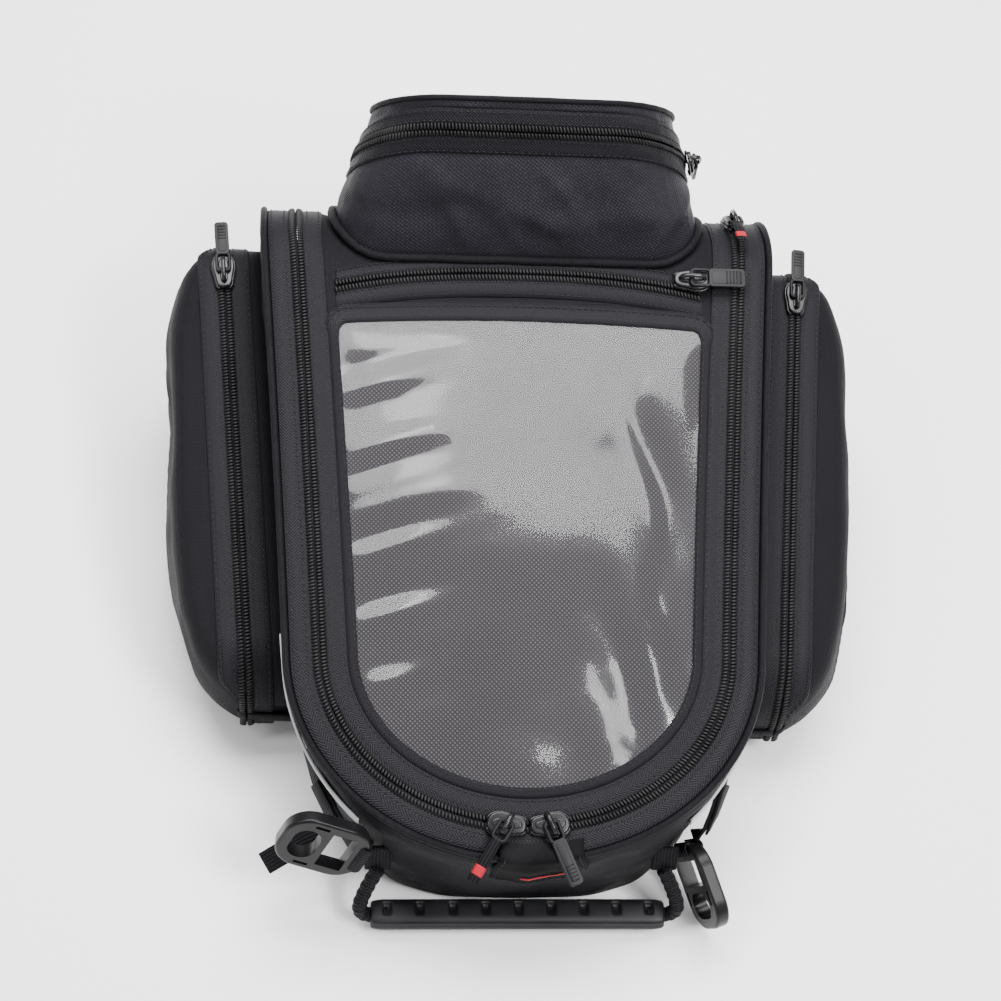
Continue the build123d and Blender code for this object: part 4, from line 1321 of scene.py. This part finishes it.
def slider_mesh(name, F, node, turn, cross):
    """Zip slider: shaped upper plate with side flanges, a raised spine, and the bridge its puller hangs on."""
    half = [(-9.4, 0.0), (-9.2, 2.4), (-7.6, 3.9), (-3.0, 4.6), (1.5, 5.7), (5.0, 5.6), (7.6, 4.3), (9.2, 2.0),
            (9.5, 0.0)]
    outline = half + [(x, -y) for x, y in half[1:-1]][::-1]
    dense = even_out(resample(outline, n=44, closed=True), 2)
    plate = soft_block([tuple(p) for p in dense], 0.25, 2.3, F, M_METAL, "p", 0.75, 3, 0.05)
    spine = soft_block([(x * 0.80, y * 0.46) for x, y in dense], 2.0, 3.0, F, M_METAL, "s", 0.45, 3, 0.1)
    lips = []
    for sy in (-1, 1):
        path = [F.p(x, sy * y * 0.98, -0.1) for x, y in half[1:-1]]
        lips.append(tube("l", resample(path, n=18), 0.75, M_METAL, sides=8, up=F.z))
    c, s = cos(turn), sin(turn)
    G = Frame(F.p(0, 0, 0), F.x * c + F.y * s, F.z)
    ln = 5.1 if cross else 6.1
    half = [(-ln, 2.0), (-ln - 0.05, 3.4), (-ln + 0.5, 5.0), (-ln + 2.2, 6.1)]
    arch = half + [(0, 6.45)] + [(-x, z) for x, z in half[::-1]]
    path = resample([G.p(x, 0, z) for x, z in arch], n=26)
    bridge = tube("b", path, 0.95, M_METAL, sides=10, flat=1.25, up=G.y)
    dress(join(name, [plate, spine, bridge] + lips), node, node)


def puller_mesh(name, pin, direction, up, node, kind, length):
    """Puller: a cross pin and a frame round the bridge, then a ribbed plate, or a folded ribbon with a mark."""
    F = Frame(pin, direction, up)
    parts = [tube("pin", [F.p(0, y, 0) for y in np.linspace(-3.2, 3.2, 9)], 0.72, M_PULL, sides=8, up=F.z)]
    w = 3.6 if kind != "wide" else 4.6
    frame_len = 9.6
    loop = rounded(frame_len, 2 * w - 0.8, 1.6, 5)
    loop = [F.p(x + frame_len / 2 - 0.9, y, 0.0) for x, y in loop]
    parts.append(tube("loop", resample(loop, n=44, closed=True), 0.85, M_PULL, sides=8, closed=True, up=F.z))
    x0 = frame_len - 1.6
    L = length - x0 - 0.6
    if kind in ("plate", "wide"):
        ww = 2 * w + (0.6 if kind == "wide" else -0.2)
        pl = [(x + x0 + L / 2, y) for x, y in rounded(L, ww, 1.8, 5)]
        parts.append(soft_block(pl, -0.85, 0.85, F, M_PULL, "plate", 0.4, 3))
        inner = [(x + x0 + L / 2 - 0.2, y) for x, y in rounded(L - 3.2, ww - 2.8, 1.2, 4)]
        parts.append(soft_block(inner, 0.6, 1.05, F, M_PULL, "pad", 0.2, 2))
        for k in range(5):
            path = [F.p(x0 + L - 2.6 - 1.7 * k, y, 1.05) for y in np.linspace(-ww / 2 + 1.7, ww / 2 - 1.7, 7)]
            parts.append(tube("rib", path, 0.36, M_PULL, 6, up=F.z))
    else:
        # folded ribbon threaded through the frame, sewn flat, with a coloured end mark
        prof = [(-1.0, 0.0), (-0.55, 0.42), (0.0, 0.5), (0.55, 0.42), (1.0, 0.0), (0.55, -0.42), (0.0, -0.5),
                (-0.55, -0.42)]

        def section(q, half, thick):
            sag = -2.6 * q ** 1.8 + 0.35 * sin(q * 5.0)
            return [F.p(x0 - 0.8 + (L + 1.2) * q, a * half, sag + b * thick) for a, b in prof]

        n, hw = 26, w - 0.9
        rows = [section(k / n, hw, (1.45 if k / n < 0.12 else 1.1) * (0.4 if k in (0, n) else 1.0))
                for k in range(n + 1)]
        parts.append(solid("ribbon", rows, M_WEB))
        tip = [section(0.66 + 0.20 * k / 8, hw + 0.12, 1.35) for k in range(9)]
        parts.append(solid("tip", tip, M_RED))
    dress(join(name, parts), node, node)


def rot_about(v, axis, deg):
    a = radians(deg)
    k = norm(axis)
    v = np.asarray(v, float)
    return v * cos(a) + np.cross(k, v) * sin(a) + k * np.dot(k, v) * (1 - cos(a))


def zip_pull(nm, org, along, up, pull, droop, kind, length, cross=False):
    """A slider and its puller, which hangs towards pull and droops by this many degrees."""
    F = Frame(org, along, up)
    turn = atan2(np.dot(norm(pull), F.y), np.dot(norm(pull), F.x))
    slider_mesh("zip_slider_" + nm, F, "slider_" + nm, turn, cross)
    pin = F.p(0, 0, 3.95)
    axis = norm(np.cross(F.z, norm(pull)))
    d = rot_about(pull, axis, droop)
    u = rot_about(F.z, axis, droop)
    puller_mesh("zip_puller_" + nm, pin, d, u, "puller_" + nm, kind, length)


N_LID = np.array([0.0, -SS, CS])
SIT = 2.8                                  # height of a slider's middle over the chain's tape
R_ARC = CH_A ** 2 / CH_B                   # radius of the near arch at its middle


def on_arc(deg):
    """A main slider's place on the near arch, and the way the chain runs there."""
    a = radians(deg)
    s = R_ARC - R_ARC * cos(a)
    return (np.array([R_ARC * sin(a), Y_NEAR + s * CS - SIT * SS, Z_NEAR + s * SS + SIT * CS]),
            np.array([cos(a), sin(a) * CS, sin(a) * SS]))


for nm, deg, sg, dx, dy, kind in (("left", -5.2, -1, -0.52, -0.85, "ribbon"),
                                  ("right", 4.6, 1, 0.40, -0.92, "plate")):
    org, tangent = on_arc(deg)
    zip_pull("main_" + nm, org, sg * tangent, N_LID, norm((dx, dy * CS, dy * SS)), 6.0, kind, 31.0, True)
zip_pull("map", (86.0, 108.0 - SIT * SS, lid_z(108.0) + SIT * CS), (1, 0, 0), N_LID, (1, 0, 0), 0.0, "wide", 27.0)
_h = PART_H - (P_D / 2 + 2) * TP
_o = PP(0, P_D / 2 + 2, _h)
_w = P_W - (P_W - P_WT) * (PART_H - P_D / 2 * TP) / P_H
_lean = atan2((P_W - P_WT) / 2, P_H)
_pd = norm((0.0, cos(PT + radians(40.0)), -sin(PT + radians(40.0))))
_pu = norm((cos(_lean), sin(_lean) * U2[0], sin(_lean) * U2[1]))
_pd = norm(_pd - np.dot(_pd, _pu) * _pu)
zip_pull("pouch", (_w / 2 + SIT / cos(_lean) + 0.7, _o[1], _o[2]), _pd, _pu, _pd, 4.0, "plate", 27.0)
for side, nm in ((-1, "pocket_left"), (1, "pocket_right")):
    ys = PY1 + (PSH if side < 0 else -PSH) - 24.0
    org = (side * pk_chain(ys), ys - SIT * SS, lid_z(ys) - PDROP + SIT * CS)
    al = norm((side * KX, CS, SS))
    al = norm(al - np.dot(al, N_LID) * N_LID)
    zip_pull(nm, org, al, N_LID, al, 4.0, "plate", 27.0)
_c, _s = cos(radians(58.0)), sin(radians(58.0))
zip_pull("rear", (111.6, CY + (R_SH + SIT) * _c, CZ + (R_SH + SIT) * _s),
         (0, _s, -_c), (0, _c, _s), (0, -_s, _c), 0.0,
         "ribbon", 27.0)

# ------------------------------------------------------------------ D-rings, straps and handle
for node, mat in (("d_ring_left", M_RING), ("d_ring_right", M_RING), ("base_pad", M_PAD), ("base_board", M_PATCH),
                  ("base_magnets", M_METAL)):
    o = NODES[node]
    o.data.materials.clear()
    o.data.materials.append(mat)
RINGS = {"left": ((-78.5, -162.0, 51.0), (-0.92, 0.12, 0.37), (0.08, -0.97, 0.20)),
         "right": ((81.5, -152.5, 32.0), (0.34, -0.85, -0.40), (0.93, 0.33, -0.05))}


def ribbon(name, pts, ups, width, thick):
    """Flat webbing with rounded selvedges along a path."""
    pts = resample(np.hstack([np.asarray(pts, float), np.asarray(ups, float)]), step=1.2)
    P, Uv = pts[:, :3], pts[:, 3:]
    prof = [(-1.0, 0.0), (-0.9, 0.45), (0.0, 0.5), (0.9, 0.45), (1.0, 0.0), (0.9, -0.45), (0.0, -0.5), (-0.9, -0.45)]
    rows, n = [], len(P)
    for i in range(n):
        t = norm(P[min(i + 1, n - 1)] - P[max(i - 1, 0)])
        u = norm(Uv[i] - np.dot(Uv[i], t) * t)
        sd = np.cross(t, u)
        k = 0.75 if i in (0, n - 1) else 1.0
        rows.append([P[i] + sd * (a * width / 2) + u * (b * thick * k) for a, b in prof])
    return solid(name, rows, M_WEB)


for side, nm in ((-1, "left"), (1, "right")):
    F = Frame(*RINGS[nm])
    # from under the rim down the corner and up to the ring's bar
    p0 = np.array([side * 101.0, -112.0, 59.0])
    p1 = np.array([side * 96.6, -126.0, 52.5])
    bar = F.p(-2.0, 0, 0)
    if side < 0:
        pts = [p0, p1, (-89.6, -139.5, 49.0), (-84.5, -149.5, 50.0), bar + np.array([-3.0, 4.6, 0.0])]
        ups = [(-0.75, -0.5, 0.25), (-0.72, -0.6, 0.2), (-0.66, -0.7, 0.2), (-0.5, -0.83, 0.2), (-0.3, -0.9, 0.2)]
    else:
        pts = [p0, p1, (92.0, -137.5, 44.5), (88.0, -144.5, 38.0), bar + np.array([2.5, 4.6, 2.0])]
        ups = [(0.75, -0.5, 0.25), (0.74, -0.6, 0.15), (0.8, -0.5, 0.1), (0.85, -0.35, 0.1), (0.93, 0.1, 0.0)]
    off = np.array([side * 1.6, -1.2, 0.2])
    parts = [ribbon("s", pts, ups, 11.0, 1.7),
             ribbon("s2", [np.asarray(p) + off for p in pts[1:4]], ups[1:4], 9.0, 1.5)]
    if side < 0:  # the loose end of this strap sticks out
        tail = [(-93.0, -148.5, 45.0), (-103.0, -152.0, 42.0), (-113.0, -156.0, 37.0), (-121.0, -159.0, 32.0)]
        parts.append(ribbon("s3", tail, [(-0.35, -0.55, 0.75)] * 4, 11.0, 1.7))
    dress(join("corner_strap_" + nm, parts), "bag", "strap_anchor_" + nm)
    # the short loop of webbing wrapped round the ring's straight bar
    turns = [radians(-150 + 300 * k / 14) for k in range(15)]
    loop = [F.p(-1.9 + 3.9 * cos(q), 0, 4.6 * sin(q)) for q in turns]
    ups = [F.x * cos(q) + F.z * sin(q) for q in turns]
    dress(ribbon("ring_wrap_" + nm, loop, ups, 17.0, 1.2), "ring_" + nm)

GL, GW, GH, GY, GZ = 141.0, 14.0, 10.0, -175.0, 9.0
PVX, PVY, PVZ = 68.0, -160.0, 34.0
web_l = [(-PVX, PVY - 2.5, PVZ), (-PVX - 5.0, PVY - 8.5, PVZ - 9.0), (-PVX - 8.0, GY + 1.0, GZ + 7.5),
         (-GL / 2 - 2.0, GY, GZ + 0.5), (-GL / 2 + 8, GY, GZ + 0.5)]


def catmull(pts, n):
    """A smooth curve through these points."""
    pts = np.asarray(pts, float)
    P = np.vstack([2 * pts[0] - pts[1], pts, 2 * pts[-1] - pts[-2]])
    steps = n // (len(pts) - 1)
    out = []
    for i in range(1, len(P) - 2):
        a, b, c, d = P[i - 1], P[i], P[i + 1], P[i + 2]
        for t in np.arange(steps) / steps:
            cube = (3 * b - a - 3 * c + d) * t ** 3
            out.append(0.5 * ((2 * b) + (c - a) * t + (2 * a - 5 * b + 4 * c - d) * t * t + cube))
    out.append(pts[-1])
    return np.array(out)


web_parts = []
for sx in (1, -1):
    path = catmull([(x * sx, y, z) for x, y, z in web_l], 72)
    rad = [3.5 + 0.2 * sin(0.9 * k) for k in range(len(path))]
    web_parts.append(solid("w", tube_rows(path, rad, 14, up=(0, 0, 1)), M_WEBV))
    # folded edge of the web running along the roll
    web_parts.append(tube("e", path[:-14] + np.array([0.0, -2.2, 2.5]), 0.8, M_WEBV, 6))
    # stitched box where the web is sewn to the corner
    p = np.array([-PVX * sx, PVY + 0.4, PVZ + 2.0])
    box = p + np.array([(0, 3.6, 9.0), (0, 0.4, 3.0), (0, -2.2, -3.0)])
    web_parts.append(ribbon("t", box, [(0, -0.95, 0.3)] * 3, 12.5, 2.4))
dress(join("handle_webbing", web_parts), "handle", "handle_web")


def grip_mesh():
    """Moulded channel grip: rounded back, lower lip, nine cross slots and swept ends."""
    n, prof_n = 260, 44
    rows = []
    slots = [(i - 4) * 15.7 for i in range(9)]
    for k in range(n + 1):
        x = -GL / 2 + GL * k / n
        e = min(1.0, (GL / 2 - abs(x)) / 7.0)
        sc = 0.80 + 0.20 * sqrt(max(0.0, 1 - (1 - e) ** 2))
        slot = min(abs(x - s) for s in slots)
        cut = 1.0 / (1.0 + exp((slot - 1.9) / 0.2))
        row = []
        for j in range(prof_n):
            q = 2 * pi * j / prof_n
            cy, cz = cos(q), sin(q)
            y = copysign(abs(cy) ** 0.62, cy) * GW / 2 * sc
            z = copysign(abs(cz) ** 0.62, cz) * GH / 2 * sc
            # a groove along the near side splits the back from the lower lip
            g = exp(-((z - 1.6) / 0.7) ** 2) * (1.0 if cy < -0.3 else 0.0)
            y += 1.1 * g
            # slots cut down into the back
            if cz > 0.35:
                inside = 1.0 / (1.0 + exp((abs(y - 1.6) - 2.6) / 0.2))
                z -= 2.2 * cut * inside
            z += 0.35 * cos(x / GL * pi)
            row.append((x, GY + y, GZ + z))
        rows.append(row)
    return solid("rubber_grip", rows, M_RUBBER)


dress(grip_mesh(), "handle", "handle_grip")

# ------------------------------------------------------------------ label patch and reflective strips
def on_wall(i, z):
    """Point of the tub's wall at this station of the rim and this height."""
    foot = base_point(_th[i], 0.0, 5.6)
    v = (z - foot[2]) / (_top[i][2] - foot[2])
    return foot * (1 - v) + _top[i] * v


def wall_point(x, z, off):
    """Point of the near wall at this x and height, pushed out by off."""
    best = min((on_wall(i, z) for i in range(NC) if _top[i][1] < -120), key=lambda p: abs(p[0] - x))
    return np.array([x, best[1], best[2]]) + norm((best[0] * 0.35, -1.0, 0.0)) * off


def patch_rows(x0, x1, nx, path):
    """Rows of a patch that lies on the rim by distance from the chain, then on the wall by height."""
    rows = []
    for s, kind in path:
        row = []
        for k in range(nx + 1):
            x = x0 + (x1 - x0) * k / nx
            if kind == "wall":
                row.append(wall_point(x, s, 2.9))
            else:
                i = int(np.argmin([abs(CH[j][0] - x) + (100 if CH[j][1] > 60 else 0) for j in range(NC)]))
                row.append(np.array(S(x, CH[i][1] + s * CHN[i][1], 3.3 if s > 12.5 else 2.2)))
        rows.append(row)
    return rows


def denser(rows, n):
    return np.array([resample(rows[:, k], n=n) for k in range(rows.shape[1])]).transpose(1, 0, 2)


lp = [(s, "top") for s in (8.5, 11.0, 14.0, 17.0)] + [(z, "wall") for z in (64.0, 58.0, 52.0, 46.0)]
_dense = denser(np.array(patch_rows(-14.0, 25.0, 16, lp)), 30)
patch = grid("blank_label", _dense, M_PATCH)
solidify(patch, 0.0009, 1.0)
dress(patch, "bag", "label_patch")
red_rows = _dense[20:22, 5:13] + np.array([0.0, -1.45, 0.35])
red = grid("label_stripe", denser(red_rows, 6), M_RED)
solidify(red, 0.0004, 1.0)
dress(red, "bag")
edge = np.vstack([_dense[1:-1, 1], _dense[-2, 1:-1], _dense[1:-1, -2][::-1]])
edge = edge + np.array([0, -1.25, 0.5])
dress(stitches("label_stitching", edge, [(0.0, -0.9, 0.4)] * len(edge)), "bag")

for side, nm in ((-1, "left"), (1, "right")):
    idx = [i for i in range(NC) if _top[i][0] * side > 70 and -150 < _top[i][1] < -64]
    idx.sort(key=lambda i: _top[i][1])
    outward = {i: norm((cos(_th[i]), sin(_th[i]), 0.15)) for i in idx}
    rows = [[on_wall(i, lid_z(_top[i][1]) - 17.0 + dz) + outward[i] * proud for i in idx]
            for dz, proud in ((-0.4, 1.6), (0.0, 2.9), (2.0, 2.9), (4.0, 2.9), (4.4, 1.6))]
    o = grid("reflective_%s" % nm, rows, M_REFL)
    solidify(o, 0.0006, 0.0)
    dress(o, "bag", "reflective_strip_" + nm)

# ------------------------------------------------------------------ floor, light and camera
fm = Tree("studio_floor", (0.95, 0.95, 0.955), 0.9)
_fv = fm.pos()
fm.color(fm.mix(fm.noise(_fv, 3.0, 2.0), (0.955, 0.955, 0.96), (0.97, 0.97, 0.97)))
bpy.ops.mesh.primitive_plane_add(size=8.0, location=(0, 0, -0.0006))
floor = bpy.context.object
floor.name = "studio_floor"
floor.data.materials.append(fm.m)

world = bpy.data.worlds.new("studio")
bpy.context.scene.world = world
world.use_nodes = True
world.node_tree.nodes["Background"].inputs[0].default_value = (1.0, 1.0, 1.0, 1)
world.node_tree.nodes["Background"].inputs[1].default_value = 0.62


def area(name, loc, target, wide, high, watts):
    d = bpy.data.lights.new(name, "AREA")
    d.energy, d.shape, d.size, d.size_y = watts, "RECTANGLE", wide, high
    o = link(bpy.data.objects.new(name, d))
    o.location = loc
    o.rotation_euler = (Vector(target) - Vector(loc)).to_track_quat("-Z", "Y").to_euler()


# name, place, target, width, height, watts
for light in (("overhead_box", (0.0, 0.56, 1.5), (0.0, 0.56, 0.0), 1.35, 0.86, 62.0),
              ("front_key", (0.62, -0.66, 1.30), (0.0, 0.0, 0.1), 0.42, 0.42, 22.0),
              ("window_glow", (-0.06, 0.30, 1.47), (-0.06, 0.28, 0.0), 0.24, 0.20, 2.6),
              ("left_strip", (-0.85, -0.30, 1.25), (0.0, 0.0, 0.1), 0.16, 0.7, 6.0),
              ("right_strip", (0.55, -0.35, 1.35), (0.0, 0.0, 0.1), 0.14, 0.6, 7.0)):
    area(*light)

cam_d = bpy.data.cameras.new("camera")
cam = link(bpy.data.objects.new("camera", cam_d))
AZ, EL, ROLL, DIST = radians(-10.5), radians(57.2), radians(9.8), 1.10
TGT = Vector((0.0, MY * 0.001, 0.080))
cam.location = TGT + DIST * Vector((sin(AZ) * cos(EL), -cos(AZ) * cos(EL), sin(EL)))
_q = (TGT - cam.location).to_track_quat("-Z", "Y")
cam.rotation_euler = (_q @ Quaternion((0.0, 0.0, 1.0), ROLL)).to_euler()
cam_d.sensor_width, cam_d.lens = 36.0, 80.0
cam_d.shift_x, cam_d.shift_y = -0.0167, 0.0263
bpy.context.scene.camera = cam
